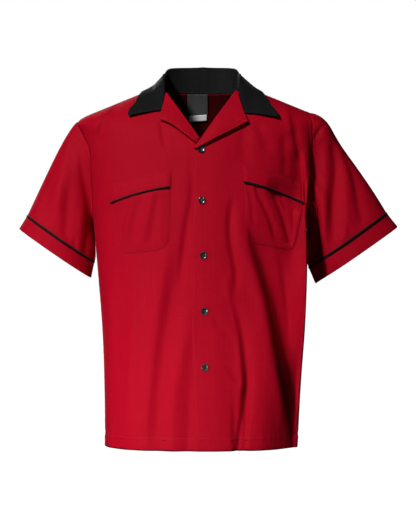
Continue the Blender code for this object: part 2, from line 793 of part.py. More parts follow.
def build_labels(black, white):
    """The woven neck label and the size tab below it, flat against the inside of the back."""
    # name, middle x, half-width, top, bottom, distance inside the back
    labels = (
        ("neck_label", -0.012, 0.022, -0.0095, -0.0525, 0.0035, black),
        ("size_tab", -0.010, 0.019, -0.0530, -0.0665, 0.0035, white),
    )
    for name, middle, half, top, bottom, inside, finish in labels:

        def place(across, up, middle=middle, half=half, top=top, bottom=bottom, inside=inside):
            x, z = lerp(middle - half, middle + half, across), lerp(bottom, top, up)
            side = 1 if x >= 0 else -1
            return skin(math.pi - angle_at(abs(x), z, side), z, side, -inside)

        cloth(name, (4, 2), place, finish, 0.0010)


def build_buttons(finish):
    mesh = button_mesh(finish)
    for number, z in enumerate(BUTTON_Z, 1):
        made = bpy.data.objects.new(f"button_{number}", mesh)
        SHIRT.objects.link(made)
        angle = angle_at(button_x(z), z, 1)
        made.location = skin(angle, z, 1, BUTTON_CLEAR)
        made.rotation_mode = "QUATERNION"
        made.rotation_quaternion = form_normal(abs(angle), z, 1).to_track_quat("Z", "Y")


clear_scene()
SHIRT = collection("bowling_shirt")
CUTTERS = collection("cutters")
RED_CLOTH = material("red_cloth", RED, 0.75)
BLACK_CLOTH = material("black_cloth", BLACK, 0.80)
WHITE_CLOTH = material("white_tape", WHITE, 0.70)
BUTTON_FINISH = material("button_black", BUTTON_BLACK, 0.25)

build_body(RED_CLOTH)
build_sleeves(RED_CLOTH, BLACK_CLOTH)
build_collar(RED_CLOTH, BLACK_CLOTH)
build_pockets(RED_CLOTH, BLACK_CLOTH)
build_labels(BLACK_CLOTH, WHITE_CLOTH)
build_buttons(BUTTON_FINISH)
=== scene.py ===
# %% [markdown]
# # A short-sleeved bowling shirt
# The shirt hangs in its worn shape with nobody in it: red poplin, a black collar, black piping
# on the cuffs and pocket flaps, and five black buttons. Cloth is only a surface with a wall, so
# nearly every piece here is one flat grid whose points are put in their place by a few shared
# formulas. Sculpting would give the same look, but a formula keeps pocket, piping and stitches
# exactly on the cloth that they are sewn to.

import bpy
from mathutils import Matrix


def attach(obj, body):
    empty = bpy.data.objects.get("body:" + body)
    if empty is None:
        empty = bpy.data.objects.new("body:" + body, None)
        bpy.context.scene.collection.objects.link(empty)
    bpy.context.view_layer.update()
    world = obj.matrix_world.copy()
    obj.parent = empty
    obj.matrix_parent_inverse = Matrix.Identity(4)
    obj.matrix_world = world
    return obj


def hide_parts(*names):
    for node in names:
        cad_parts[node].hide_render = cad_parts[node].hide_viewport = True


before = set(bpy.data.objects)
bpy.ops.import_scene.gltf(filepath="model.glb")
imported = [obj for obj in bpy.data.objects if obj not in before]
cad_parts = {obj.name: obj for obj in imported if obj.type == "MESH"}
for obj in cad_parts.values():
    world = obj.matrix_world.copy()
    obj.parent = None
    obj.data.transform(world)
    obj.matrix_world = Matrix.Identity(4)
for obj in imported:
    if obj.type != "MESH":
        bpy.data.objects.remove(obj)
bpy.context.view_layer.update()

# %% Tools and measures
import math
from collections import namedtuple

import bmesh
import bpy
import numpy as np
from mathutils import Matrix, Vector

WALL = 0.0008  # one layer of poplin, with its press and starch
HEM_Z = -0.753
ARMPIT_Z = -0.290
HEM_FOLD = 0.027  # the hem's stitch line stands this far above its edge
NECK_HALF = {-1: 0.0745, 1: 0.0700}
RIDGE_TOP_Z, SHOULDER_SLOPE, SHOULDER_ROUND = 0.006, 0.408, 0.040
LAP_RISE, LAP_WIDTH, LAP_FADE = 0.0026, 0.040, 0.045
UNDERLAP = 0.019
SEAM_HALF = 0.0002
FOLD_FREE = math.radians(4)
BUTTON_Z = (-0.1415, -0.2448, -0.3554, -0.4684, -0.5824)

# %% [markdown]
# ## The form under the cloth
# Level sections of a torso carry the cloth. A place is an angle round the form (0 at the front
# centre, a quarter turn at the side, a half turn at the back), a height and a side. The table
# holds half-widths, depths and how square each section is. NumPy arrays work every place at
# once, because fine cloth has tens of thousands of points and a loop would be slow.

# %% Sections of the torso
Section = namedtuple("Section", "z minus plus front back square")
SECTIONS = [
    Section(-0.753, 0.205, 0.196, 0.126, 0.116, 2.40),
    Section(-0.640, 0.206, 0.204, 0.122, 0.111, 2.40),
    Section(-0.520, 0.210, 0.211, 0.121, 0.107, 2.40),
    Section(-0.400, 0.219, 0.215, 0.126, 0.110, 2.40),
    Section(-0.290, 0.229, 0.217, 0.129, 0.117, 2.40),
    Section(-0.190, 0.240, 0.232, 0.122, 0.120, 2.35),
    Section(-0.110, 0.256, 0.250, 0.107, 0.112, 2.30),
    Section(-0.060, 0.275, 0.268, 0.086, 0.097, 2.20),
    Section(-0.025, 0.280, 0.275, 0.066, 0.083, 2.15),
    Section(0.015, 0.280, 0.275, 0.036, 0.062, 2.10),
]
Placket = namedtuple("Placket", "z edge_x button_x")
PLACKET = [
    Placket(-0.753, -0.0125, 0.0055),
    Placket(-0.647, -0.0175, 0.0050),
    Placket(-0.525, -0.0205, 0.0042),
    Placket(-0.400, -0.0215, 0.0024),
    Placket(-0.240, -0.0215, -0.0020),
    Placket(-0.143, -0.0175, -0.0030),
]
Armhole = namedtuple("Armhole", "share front_minus front_plus back_minus back_plus")
ARMHOLE = [
    Armhole(0.00, 0.0, 0.0, 0.0, 0.0),
    Armhole(0.10, 9.0, 13.0, 10.0, 12.0),
    Armhole(0.25, 13.0, 18.5, 15.0, 17.0),
    Armhole(0.45, 17.0, 21.0, 17.5, 19.0),
    Armhole(0.60, 20.5, 22.0, 18.5, 20.0),
    Armhole(0.72, 21.5, 25.0, 18.5, 22.0),
    Armhole(0.82, 17.0, 29.0, 17.0, 24.0),
    Armhole(0.91, 13.5, 30.0, 13.5, 25.0),
    Armhole(0.97, 8.0, 20.0, 8.0, 17.0),
    Armhole(1.00, 0.0, 0.0, 0.0, 0.0),
]
ARMHOLE_TOP_Z = {-1: -0.070, 1: -0.054}
NeckBack = namedtuple("NeckBack", "share x z")
NECK_BACK = [
    NeckBack(0.00, 0.00, -0.0100),
    NeckBack(0.30, 0.51, -0.0100),
    NeckBack(0.50, 0.85, -0.0085),
    NeckBack(0.64, 0.97, -0.0050),
    NeckBack(0.75, 0.99, -0.0010),
    NeckBack(1.00, 1.00, 0.0045),
]
NECK_SIDE_Z = 0.0045
Roll = namedtuple("Roll", "break_x break_z low_x low_z top_x top_z")
ROLL = {
    -1: Roll(-0.0160, -0.1480, 0.0067, -0.1217, 0.0785, -0.0225),
    1: Roll(-0.0175, -0.1430, -0.0012, -0.1217, 0.0725, -0.0175),
}
ROW_ARMPIT, ROW_BREAK, ROW_ROLL, ROWS = 11, 14, 20, 25
NECK_SHARE = 1 / 3
print("sections", len(SECTIONS), "shirt length", round(SECTIONS[-1].z - HEM_Z, 3), "m")


# %% Curves through a table
def lerp(a, b, share):
    return a + (b - a) * share


def smoothstep(low, high, value):
    share = np.clip((value - low) / (high - low), 0.0, 1.0)
    return share * share * (3 - 2 * share)


def through(keys, values, at):
    """The value at each place, on a smooth curve through the values."""
    keys, values = np.asarray(keys, float), np.asarray(values, float)
    last = len(keys) - 1
    at = np.clip(at, keys[0], keys[last])
    i = np.clip(np.searchsorted(keys, at, side="right") - 1, 0, last - 1)
    low = np.maximum(np.arange(last + 1) - 1, 0)
    high = np.minimum(np.arange(last + 1) + 1, last)
    slopes = (values[high] - values[low]) / (keys[high] - keys[low])
    span = keys[i + 1] - keys[i]
    t = (at - keys[i]) / span
    return (
        values[i] * (1 + 2 * t) * (1 - t) ** 2
        + slopes[i] * span * t * (1 - t) ** 2
        + values[i + 1] * t * t * (3 - 2 * t)
        + slopes[i + 1] * span * t * t * (t - 1)
    )


def column(table, key, name, at):
    return through([getattr(r, key) for r in table], [getattr(r, name) for r in table], at)


def by_side(pair, side):
    return np.where(np.asarray(side) > 0, pair[1], pair[-1])


def unit(vectors):
    return vectors / np.maximum(np.linalg.norm(vectors, axis=-1, keepdims=True), 1e-12)


def xyz(x, y, z):
    return np.stack(np.broadcast_arrays(x, y, z), axis=-1).astype(float)


# %% Places on the form
def half_width(z, side):
    body = np.where(
        np.asarray(side) > 0, column(SECTIONS, "z", "plus", z), column(SECTIONS, "z", "minus", z)
    )
    ridge = by_side(NECK_HALF, side) + (RIDGE_TOP_Z - z) / SHOULDER_SLOPE
    near = np.maximum(SHOULDER_ROUND - abs(body - ridge), 0.0) / SHOULDER_ROUND
    return np.minimum(body, ridge) - near * near * SHOULDER_ROUND / 4


def on_form(angle, z, side):
    power = 2 / column(SECTIONS, "z", "square", z)
    depth = np.where(
        angle < math.pi / 2, column(SECTIONS, "z", "front", z), column(SECTIONS, "z", "back", z)
    )
    across, along = np.sin(angle), np.cos(angle)
    x = side * half_width(z, side) * np.copysign(np.abs(across) ** power, across)
    return xyz(x, -depth * np.copysign(np.abs(along) ** power, along), z)


def form_normal(angle, z, side, step=0.004):
    round_it = on_form(angle + step, z, side) - on_form(angle - step, z, side)
    up_it = on_form(angle, z + step, side) - on_form(angle, z - step, side)
    return unit(np.cross(round_it, up_it)) * np.asarray(side)[..., None]


def angle_at(x, z, side):
    """The angle at which the form's front has this x, where x grows towards the side."""
    share = x / half_width(z, side)
    square = column(SECTIONS, "z", "square", z)
    return np.copysign(np.arcsin(np.minimum(np.abs(share), 1.0) ** (square / 2)), share)


def button_x(z):
    return column(PLACKET, "z", "button_x", z)


def front_edge_x(z, side):
    return np.where(np.asarray(side) > 0, column(PLACKET, "z", "edge_x", z), -button_x(z) - UNDERLAP)


def seam_turn(z):
    depth = column(SECTIONS, "z", "front", z)
    return (SEAM_HALF / depth) ** (column(SECTIONS, "z", "square", z) / 2)


probe = on_form(np.array([0.0, math.pi / 2]), np.array([-0.4, -0.4]), 1)
print("front centre and side at z -0.4:", np.round(probe, 3).tolist())

# %% [markdown]
# ## Folds and creases
# Empty cloth falls in a few long folds: here the deepest runs from under the left pocket to the
# side of the hem, and softer ones fan from the chest. Each is a line with a height (out of the
# cloth above zero, into it below) and its own width on either side, so one flank can be steep
# and the other gentle, as in real cloth. A cloth simulation would find folds of its own, but
# not these ones, so they are listed one by one. Paths run downwards, as seen from the front.

# %% Fold tables
Fold = namedtuple("Fold", "height left right path")
SIDE_EDGE = ((0.2140, -0.080), (0.217, -0.140), (0.2190, -0.215), (0.2095, -0.270), (0.2110, -0.288),
             (0.2125, -0.306), (0.2138, -0.345), (0.2112, -0.440), (0.2085, -0.520), (0.2020, -0.640),
             (0.1960, -0.753), (0.188, -0.980))
FRONT_FOLDS = [
    # the deep fold from the wearer's left pocket to the side of the hem: crest, trough, far bank
    Fold(0.0075, 0.020, 0.006, ((0.074, -0.250), (0.088, -0.315), (0.102, -0.369), (0.1165, -0.416),
                                (0.127, -0.457), (0.136, -0.508), (0.148, -0.579), (0.156, -0.619),
                                (0.166, -0.660), (0.177, -0.720), (0.181, -0.780))),
    Fold(-0.0165, 0.017, 0.030, ((0.086, -0.250), (0.106, -0.320), (0.123, -0.369), (0.139, -0.416),
                                 (0.151, -0.457), (0.162, -0.508), (0.176, -0.579), (0.183, -0.619),
                                 (0.188, -0.660), (0.190, -0.720), (0.190, -0.755))),
    Fold(0.0480, 0.023, 0.003, SIDE_EDGE),
    Fold(0.0180, 0.0065, 0.002, SIDE_EDGE[1:]),
    Fold(-0.0260, 0.026, 0.004, ((0.212, -0.440), (0.208, -0.540), (0.2015, -0.640), (0.1945, -0.753),
                                 (0.186, -0.980))),
    Fold(-0.0180, 0.024, 0.004, ((0.208, -0.500), (0.2020, -0.620), (0.1960, -0.753), (0.186, -0.980))),
    Fold(0.0030, 0.006, 0.006, ((0.166, -0.560), (0.176, -0.620), (0.186, -0.680), (0.192, -0.730))),
    Fold(-0.0036, 0.006, 0.010, ((0.150, -0.335), (0.158, -0.366), (0.166, -0.412), (0.172, -0.450),
                                 (0.180, -0.520))),
    Fold(-0.0125, 0.018, 0.026, ((0.122, -0.220), (0.160, -0.228), (0.185, -0.238), (0.210, -0.250),
                                 (0.246, -0.265))),
    Fold(-0.0100, 0.020, 0.005, ((0.196, -0.130), (0.202, -0.180), (0.205, -0.215), (0.207, -0.270))),
    # the crease that wanders down beside the buttons
    Fold(-0.0060, 0.0042, 0.009, ((0.064, -0.225), (0.056, -0.260), (0.053, -0.300), (0.057, -0.340),
                                 (0.066, -0.386), (0.065, -0.420), (0.054, -0.450))),
    Fold(-0.0082, 0.0046, 0.012, ((0.056, -0.420), (0.066, -0.460), (0.077, -0.505), (0.082, -0.545),
                                 (0.086, -0.585), (0.088, -0.620), (0.082, -0.665), (0.074, -0.716),
                                 (0.070, -0.760), (0.066, -0.880))),
    Fold(0.0030, 0.008, 0.006, ((0.070, -0.500), (0.077, -0.560), (0.079, -0.610), (0.070, -0.660))),
    Fold(-0.0026, 0.004, 0.006, ((0.084, -0.570), (0.090, -0.600), (0.088, -0.633), (0.079, -0.668))),
    Fold(0.0022, 0.007, 0.007, ((0.048, -0.395), (0.050, -0.425), (0.058, -0.446))),
    Fold(0.0050, 0.022, 0.026, ((0.108, -0.420), (0.118, -0.520), (0.126, -0.620), (0.120, -0.800))),
    Fold(-0.0018, 0.005, 0.007, ((0.022, -0.470), (0.036, -0.505), (0.058, -0.522))),
    Fold(-0.0018, 0.005, 0.007, ((0.044, -0.570), (0.064, -0.602), (0.086, -0.618))),
    Fold(-0.0044, 0.0036, 0.006, ((0.061, -0.635), (0.0632, -0.680), (0.0635, -0.722), (0.066, -0.790),
                                 (0.068, -0.860))),
    Fold(-0.0050, 0.0036, 0.006, ((0.092, -0.600), (0.0885, -0.670), (0.086, -0.720), (0.082, -0.770),
                                 (0.078, -0.850))),
    # soft folds down the wearer's right
    Fold(0.0058, 0.024, 0.016, ((-0.064, -0.300), (-0.082, -0.400), (-0.097, -0.497), (-0.108, -0.600),
                                (-0.118, -0.700), (-0.120, -0.820))),
    Fold(-0.0040, 0.016, 0.022, ((-0.040, -0.290), (-0.054, -0.400), (-0.070, -0.487), (-0.084, -0.568),
                                 (-0.090, -0.660), (-0.092, -0.820))),
    Fold(0.0042, 0.016, 0.014, ((-0.022, -0.440), (-0.036, -0.520), (-0.052, -0.598), (-0.060, -0.660),
                                (-0.064, -0.820))),
    Fold(-0.0030, 0.010, 0.010, ((-0.018, -0.560), (-0.026, -0.640), (-0.032, -0.820))),
    Fold(-0.0046, 0.006, 0.011, ((-0.023, -0.185), (-0.0235, -0.250), (-0.0305, -0.285), (-0.0357, -0.323),
                                 (-0.041, -0.365), (-0.047, -0.430))),
    Fold(-0.0030, 0.016, 0.020, ((-0.160, -0.330), (-0.168, -0.446), (-0.172, -0.527), (-0.176, -0.608),
                                 (-0.168, -0.700))),
    Fold(0.0050, 0.018, 0.015, ((-0.134, -0.340), (-0.140, -0.446), (-0.144, -0.527), (-0.152, -0.629),
                                (-0.150, -0.800))),
    Fold(0.0030, 0.012, 0.010, ((-0.190, -0.400), (-0.190, -0.507), (-0.188, -0.620))),
    Fold(-0.0020, 0.0026, 0.004, ((-0.0240, -0.140), (-0.0240, -0.175), (-0.0235, -0.210),
                                  (-0.0245, -0.250))),
    # drag lines on the chest
    Fold(-0.0030, 0.005, 0.007, ((-0.089, -0.070), (-0.083, -0.100), (-0.075, -0.145))),
    Fold(-0.0042, 0.007, 0.012, ((-0.158, -0.032), (-0.191, -0.061), (-0.208, -0.092), (-0.216, -0.150))),
    Fold(0.0026, 0.010, 0.012, ((-0.180, -0.050), (-0.212, -0.078), (-0.228, -0.110))),
    Fold(-0.0040, 0.006, 0.011, ((0.176, -0.050), (0.186, -0.090), (0.193, -0.125), (0.202, -0.175))),
    Fold(-0.0032, 0.008, 0.010, ((0.165, -0.100), (0.167, -0.153), (0.168, -0.200))),
    Fold(-0.0030, 0.012, 0.016, ((0.092, -0.080), (0.083, -0.122), (0.083, -0.180))),
    Fold(-0.0026, 0.009, 0.012, ((0.105, -0.078), (0.120, -0.110), (0.136, -0.150))),
    Fold(0.0030, 0.010, 0.010, ((0.168, -0.040), (0.178, -0.075), (0.184, -0.110))),
]
BACK_FOLDS = [
    Fold(-0.0100, 0.026, 0.034, ((0.060, -0.170), (0.078, -0.300), (0.096, -0.500), (0.104, -0.640),
                                 (0.106, -0.820))),
    Fold(0.0055, 0.020, 0.016, ((0.040, -0.230), (0.046, -0.400), (0.058, -0.560), (0.056, -0.820))),
    Fold(-0.0090, 0.030, 0.022, ((-0.066, -0.190), (-0.082, -0.330), (-0.080, -0.500), (-0.070, -0.660),
                                 (-0.072, -0.820))),
    Fold(0.0060, 0.018, 0.024, ((-0.112, -0.250), (-0.120, -0.420), (-0.116, -0.600), (-0.124, -0.820))),
    Fold(0.0060, 0.026, 0.022, ((-0.008, -0.300), (-0.004, -0.450), (0.008, -0.600), (0.006, -0.820))),
    Fold(-0.0040, 0.010, 0.016, ((0.150, -0.120), (0.166, -0.230), (0.172, -0.330))),
    Fold(-0.0034, 0.014, 0.009, ((-0.160, -0.120), (-0.176, -0.220), (-0.178, -0.310))),
    Fold(-0.0045, 0.016, 0.012, ((0.146, -0.400), (0.156, -0.520), (0.160, -0.700))),
    Fold(0.0034, 0.010, 0.014, ((-0.160, -0.420), (-0.158, -0.560), (-0.166, -0.740))),
    Fold(-0.0026, 0.008, 0.008, ((0.022, -0.590), (0.030, -0.700), (0.030, -0.820))),
    Fold(-0.0026, 0.008, 0.008, ((-0.034, -0.540), (-0.036, -0.690), (-0.040, -0.820))),
    Fold(-0.0030, 0.012, 0.012, ((0.060, -0.050), (0.110, -0.085), (0.160, -0.105))),
    Fold(-0.0026, 0.012, 0.012, ((-0.070, -0.055), (-0.120, -0.095), (-0.176, -0.120))),
]


def fine_path(path, pieces=14):
    """The same line with more points, on a smooth curve, and each point's share of its length."""
    spots = np.array(path)
    run = np.concatenate([[0], np.cumsum(np.linalg.norm(np.diff(spots, axis=0), axis=1))])
    at = np.linspace(0, run[-1], pieces + 1)
    return np.stack([through(run, spots[:, k], at) for k in (0, 1)], axis=1), at / run[-1]


def fold_height(folds, x, z):
    """How far a list of folds moves the cloth out at each (x, z)."""
    x, z = np.broadcast_arrays(np.asarray(x, float), np.asarray(z, float))
    out = np.zeros(x.shape)
    for fold in folds:
        spots, shares = fine_path(fold.path)
        reach = 3 * max(fold.left, fold.right)
        low, high = spots.min(0) - reach, spots.max(0) + reach
        near = (x > low[0]) & (x < high[0]) & (z > low[1]) & (z < high[1])
        if not near.any():
            continue
        px, pz = x[near], z[near]
        best = np.full(px.shape, 1e9)
        signed, share = np.zeros(px.shape), np.zeros(px.shape)
        for k in range(len(spots) - 1):
            run = spots[k + 1] - spots[k]
            dx, dz = px - spots[k][0], pz - spots[k][1]
            t = np.clip((dx * run[0] + dz * run[1]) / (run @ run), 0, 1)
            off = np.hypot(dx - run[0] * t, dz - run[1] * t)
            closer = off < best
            best = np.where(closer, off, best)
            signed = np.where(closer, dz * run[0] - dx * run[1], signed)
            share = np.where(closer, lerp(shares[k], shares[k + 1], t), share)
        width = np.where(signed < 0, fold.left, fold.right)
        fade = smoothstep(0, 0.28, share) * (1 - smoothstep(0.75, 1.0, share))
        out[near] += fold.height * fade * np.exp(-((best / width) ** 2))
    return out


print("folds:", len(FRONT_FOLDS), "in front,", len(BACK_FOLDS), "behind")


# %% The cloth's outer face
def lap(x, z, side):
    """The buttoned front is lifted over the other one."""
    from_edge = x - front_edge_x(z, side)
    return np.where(
        np.asarray(side) > 0, LAP_RISE * (1 - smoothstep(LAP_WIDTH, LAP_WIDTH + LAP_FADE, from_edge)), 0
    )


def skin(angle, z, side, out=0.0):
    """A point of the cloth's outer face, moved out by a distance."""
    angle, z, side, out = np.broadcast_arrays(angle, z, side, out)
    point = on_form(angle, z, side)
    behind = angle > math.pi / 2
    rise = np.where(behind, 0.0, lap(point[..., 0], z, side))
    point = point + form_normal(angle, z, side) * (out + rise)[..., None]
    folds = np.where(
        behind,
        fold_height(BACK_FOLDS, point[..., 0], z),
        -fold_height(FRONT_FOLDS, point[..., 0], z),
    )
    return point + xyz(0, folds * smoothstep(0, FOLD_FREE, np.abs(angle - math.pi / 2)), 0)


def front_skin(x, z, side, out=0.0):
    return skin(angle_at(x, z, side), z, side, out)


def front_normal(x, z, side):
    return form_normal(angle_at(x, z, side), z, side)


# %% [markdown]
# ## Outlines of the panels
# A front panel runs from its edge to the side seam, and from the hem to the shoulder. Above the
# armpit its side is the armhole, so a patch is stretched between four border curves there. The
# back is the same with the neck and both shoulders on top.

# %% Border curves
def armhole(side, face, share, gap=1):
    z = lerp(ARMPIT_Z, by_side(ARMHOLE_TOP_Z, side), share)
    dip = np.where(
        np.asarray(side) > 0,
        column(ARMHOLE, "share", f"{face}_plus", share),
        column(ARMHOLE, "share", f"{face}_minus", share),
    )
    dip = np.radians(dip) + gap * seam_turn(z)
    return math.pi / 2 + (dip if face == "back" else -dip), z


def neck_front(side, part):
    top_x, top_z = (by_side({s: getattr(ROLL[s], n) for s in (-1, 1)}, side) for n in ("top_x", "top_z"))
    return lerp(half_width(NECK_SIDE_Z, side), top_x, part), lerp(NECK_SIDE_Z, top_z, part)


def neck_back(side, part):
    x = column(NECK_BACK, "share", "x", part) * half_width(NECK_SIDE_Z, side)
    return x, column(NECK_BACK, "share", "z", part)


def face_angle(x, z, side, face):
    angle = np.minimum(angle_at(x, z, side), math.pi / 2 - seam_turn(z))
    return math.pi - angle if face == "back" else angle


def neck_seam(share, out=0.0):
    """Points of the neck seam: 0 at the centre back, -1 and 1 at its front ends."""
    side = np.where(share >= 0, 1, -1)
    share = np.abs(share)
    behind = share <= 0.5
    bx, bz = neck_back(side, np.minimum(share * 2, 1))
    fx, fz = neck_front(side, np.clip(share * 2 - 1, 0, 1))
    angle = np.where(behind, face_angle(bx, bz, side, "back"), face_angle(fx, fz, side, "front"))
    return skin(angle, np.where(behind, bz, fz), side, out)


def roll_line(side, row):
    roll = ROLL[side]
    first = row - ROW_BREAK
    rest = (row - ROW_BREAK - 1) / (ROW_ROLL - ROW_BREAK - 1)
    low = row < ROW_BREAK + 1
    x = np.where(low, lerp(roll.break_x, roll.low_x, first), lerp(roll.low_x, roll.top_x, rest))
    z = np.where(low, lerp(roll.break_z, roll.low_z, first), lerp(roll.low_z, roll.top_z, rest))
    return x, z


def front_edge(side, row):
    part = (row - ROW_ARMPIT) / (ROW_BREAK - ROW_ARMPIT)
    z = np.where(
        row > ROW_ARMPIT,
        lerp(ARMPIT_Z, ROLL[side].break_z, part),
        lerp(HEM_Z, ARMPIT_Z, row / ROW_ARMPIT),
    )
    x = front_edge_x(z, side)
    rx, rz = roll_line(side, row)
    nx, nz = neck_front(side, (ROWS - row) / (ROWS - ROW_ROLL))
    x = np.where(row > ROW_ROLL, nx, np.where(row >= ROW_BREAK, rx, x))
    return x, np.where(row > ROW_ROLL, nz, np.where(row >= ROW_BREAK, rz, z))


def back_centre(side, row):
    above = lerp(ARMPIT_Z, NECK_BACK[0].z, (row - ROW_ARMPIT) / (ROWS - ROW_ARMPIT))
    z = np.where(row > ROW_ARMPIT, above, lerp(HEM_Z, ARMPIT_Z, row / ROW_ARMPIT))
    return np.zeros(z.shape), z


def shoulder(side, part):
    z = lerp(NECK_SIDE_Z, by_side(ARMHOLE_TOP_Z, side), part)
    return half_width(z, side), z


def panel_top(side, face, share):
    if face == "front":
        return shoulder(side, share)
    nx, nz = neck_back(side, np.minimum(share / NECK_SHARE, 1))
    sx, sz = shoulder(side, np.maximum((share - NECK_SHARE) / (1 - NECK_SHARE), 0))
    return np.where(share <= NECK_SHARE, nx, sx), np.where(share <= NECK_SHARE, nz, sz)


def panel_spot(side, face, share, up):
    """(angle, z) of a panel's points: share from the inner edge to the side, up from the hem."""
    share, up, side_all = np.broadcast_arrays(share, up, side)
    row = up * ROWS
    inner = front_edge if face == "front" else back_centre
    one = side if np.isscalar(side) else side_all

    def turned(x, z):
        angle = angle_at(x, z, side_all)
        return math.pi - angle if face == "back" else angle

    def sideways(angle, z):
        return side_all * on_form(angle, z, side_all)[..., 0], z

    x, z_low = inner(one, row)
    side_angle = math.pi / 2 + (seam_turn(z_low) if face == "back" else -seam_turn(z_low))
    angle_low = lerp(turned(x, z_low), side_angle, share)

    rise = np.clip((row - ROW_ARMPIT) / (ROWS - ROW_ARMPIT), 0, 1)
    flat = np.zeros(share.shape)
    at_armpit = inner(one, flat + ROW_ARMPIT)
    low = sideways(lerp(turned(*at_armpit), math.pi / 2, share), flat + ARMPIT_Z)
    high = panel_top(side_all, face, share)
    start, end = inner(one, np.maximum(row, ROW_ARMPIT)), sideways(*armhole(side_all, face, rise))
    corners = (
        at_armpit,
        sideways(*armhole(side_all, face, flat)),
        panel_top(side_all, face, flat),
        panel_top(side_all, face, flat + 1),
    )
    x, z = (
        lerp(start[i], end[i], share)
        + lerp(low[i], high[i], rise)
        - lerp(lerp(corners[0][i], corners[1][i], share), lerp(corners[2][i], corners[3][i], share), rise)
        for i in (0, 1)
    )
    below = row <= ROW_ARMPIT
    return (
        np.where(below, angle_low, face_angle(x, z, side_all, face)),
        np.where(below, z_low, z),
    )

# %% [markdown]
# ## Seams that pucker
# Thread draws cloth up a little, so every sewn line has short ripples across it that die away
# within a centimetre. They are uneven: the pitch drifts, and so does the height. A texture could
# fake this, but the light catches a real ripple along the hem and the front edge.


# %% Ripples beside a seam
def puckers(run, off, height=0.0004, reach=0.008, pitch=0.013):
    """Ripples along a seam: run is the length along it, and off the distance from it."""
    phase = 2 * math.pi * run / pitch + 1.7 * np.sin(2 * math.pi * run / (pitch * 3.7))
    uneven = 0.6 + 0.4 * np.sin(2 * math.pi * run / (pitch * 5.3) + 1.0)
    return height * uneven * np.sin(phase) * np.exp(-((off / reach) ** 2))


def pressed_seam(off, depth=0.0007, groove=0.0014, ridge=0.0004, ridge_at=0.006):
    """A seam's groove, and beside it the soft ridge of the allowance pressed underneath."""
    return ridge * np.exp(-(((off - ridge_at) / 0.003) ** 2)) - depth * np.exp(-((off / groove) ** 2))


def crowd_ends(share, amount):
    """An even share, changed so that the steps are smaller at both ends."""
    return lerp(share, 0.5 - 0.5 * np.cos(math.pi * share), amount)


# %% Body panels
HEM_TURN = 0.05  # share of a panel's rows that are turned up inside, behind the hem
HEM_BEND = 0.0011  # between the outer face of the hem and the layer turned up inside
PANEL_WIDTH = 0.235


def panel_place(side, face):
    """Points of a body panel with its hem turned up inside, across from its inner edge."""

    def place(across, up):
        if face == "back":
            side_now = np.where(across < 0.5, -1, 1)
            share = np.abs(across - 0.5) * 2
            share = share + 0.06 * np.sin(math.pi * share) * share
        else:
            side_now, share = side, crowd_ends(across, 0.35)
        rise = (up - HEM_TURN) / (1 - HEM_TURN)
        turned = rise < 0
        height = np.where(turned, -rise / HEM_TURN * HEM_FOLD * (1 - HEM_TURN) / -(HEM_Z - ARMPIT_Z)
                          * ROW_ARMPIT / ROWS, rise)
        angle, z = panel_spot(side_now, face, share, np.clip(height, 0, 1))
        inward = HEM_BEND * (1 - np.exp(-np.maximum(-rise, 0) / 0.004))
        to_side = (1 - share) * PANEL_WIDTH
        to_hem = z - HEM_Z
        run = on_form(angle, z, side_now)[..., 0]
        out = pressed_seam(to_side) + puckers(z, to_side, 0.0003)
        out = out + puckers(run, to_hem - HEM_FOLD, 0.0008, 0.012)
        out = out + 0.0006 * (1 - smoothstep(HEM_FOLD - 0.001, HEM_FOLD + 0.002, to_hem))
        out = out - 0.0015 * np.exp(-(((to_hem - HEM_FOLD) / 0.0034) ** 2))
        to_shoulder = (1 - rise) * 0.5
        out = out + np.where(share > (NECK_SHARE if face == "back" else -1), pressed_seam(to_shoulder), 0)
        if face == "front":
            to_edge = share * PANEL_WIDTH
            out = out - 0.0004 * np.exp(-(((to_edge - 0.005) / 0.0014) ** 2))
            out = out + puckers(z, to_edge - 0.004, 0.00028, 0.007)
        return skin(angle, z, side_now, out - inward)

    return place


# %% [markdown]
# ## Sleeves and turned cuffs
# A sleeve is a tube of cloth from the armhole seam to the cuff seam. The armhole is a ring on the
# body, the cuff a flattened ring, and smooth lines run from one to the other. The cuff is a band
# folded on itself, so its grid goes down outside, round the edge and back up inside.

# %% Sleeve tables
Sleeve = namedtuple(
    "Sleeve", "side seam_out_x seam_out_z seam_in_x seam_in_z edge_out_x edge_out_z "
    "edge_in_x edge_in_z half_depth fall_x"
)
SLEEVES = {
    "minus": Sleeve(-1, 0.3675, -0.273, 0.2290, -0.369, 0.3840, -0.300, 0.2360, -0.402, 0.064, 0.42),
    "plus": Sleeve(1, 0.3840, -0.267, 0.2230, -0.381, 0.4070, -0.296, 0.2370, -0.414, 0.055, 0.51),
}
SLEEVE_START, SLEEVE_END = 0.35, 0.95
SLEEVE_HEAD = {-1: 0.0, 1: 0.0095}  # how full the cap stands past the end of the shoulder
UNDERARM_FULL = {-1: 0.0, 1: 0.0040}  # and how full it is just under the armpit
UNDERARM_FLAT = {-1: 0.04, 1: 0.72}  # how much flatter a sleeve hangs beside the body
CUFF_RISE = 0.0012
LAID_FLAT = 0.72  # under one, a sleeve keeps a flat front and back, and turns close to its outer edge
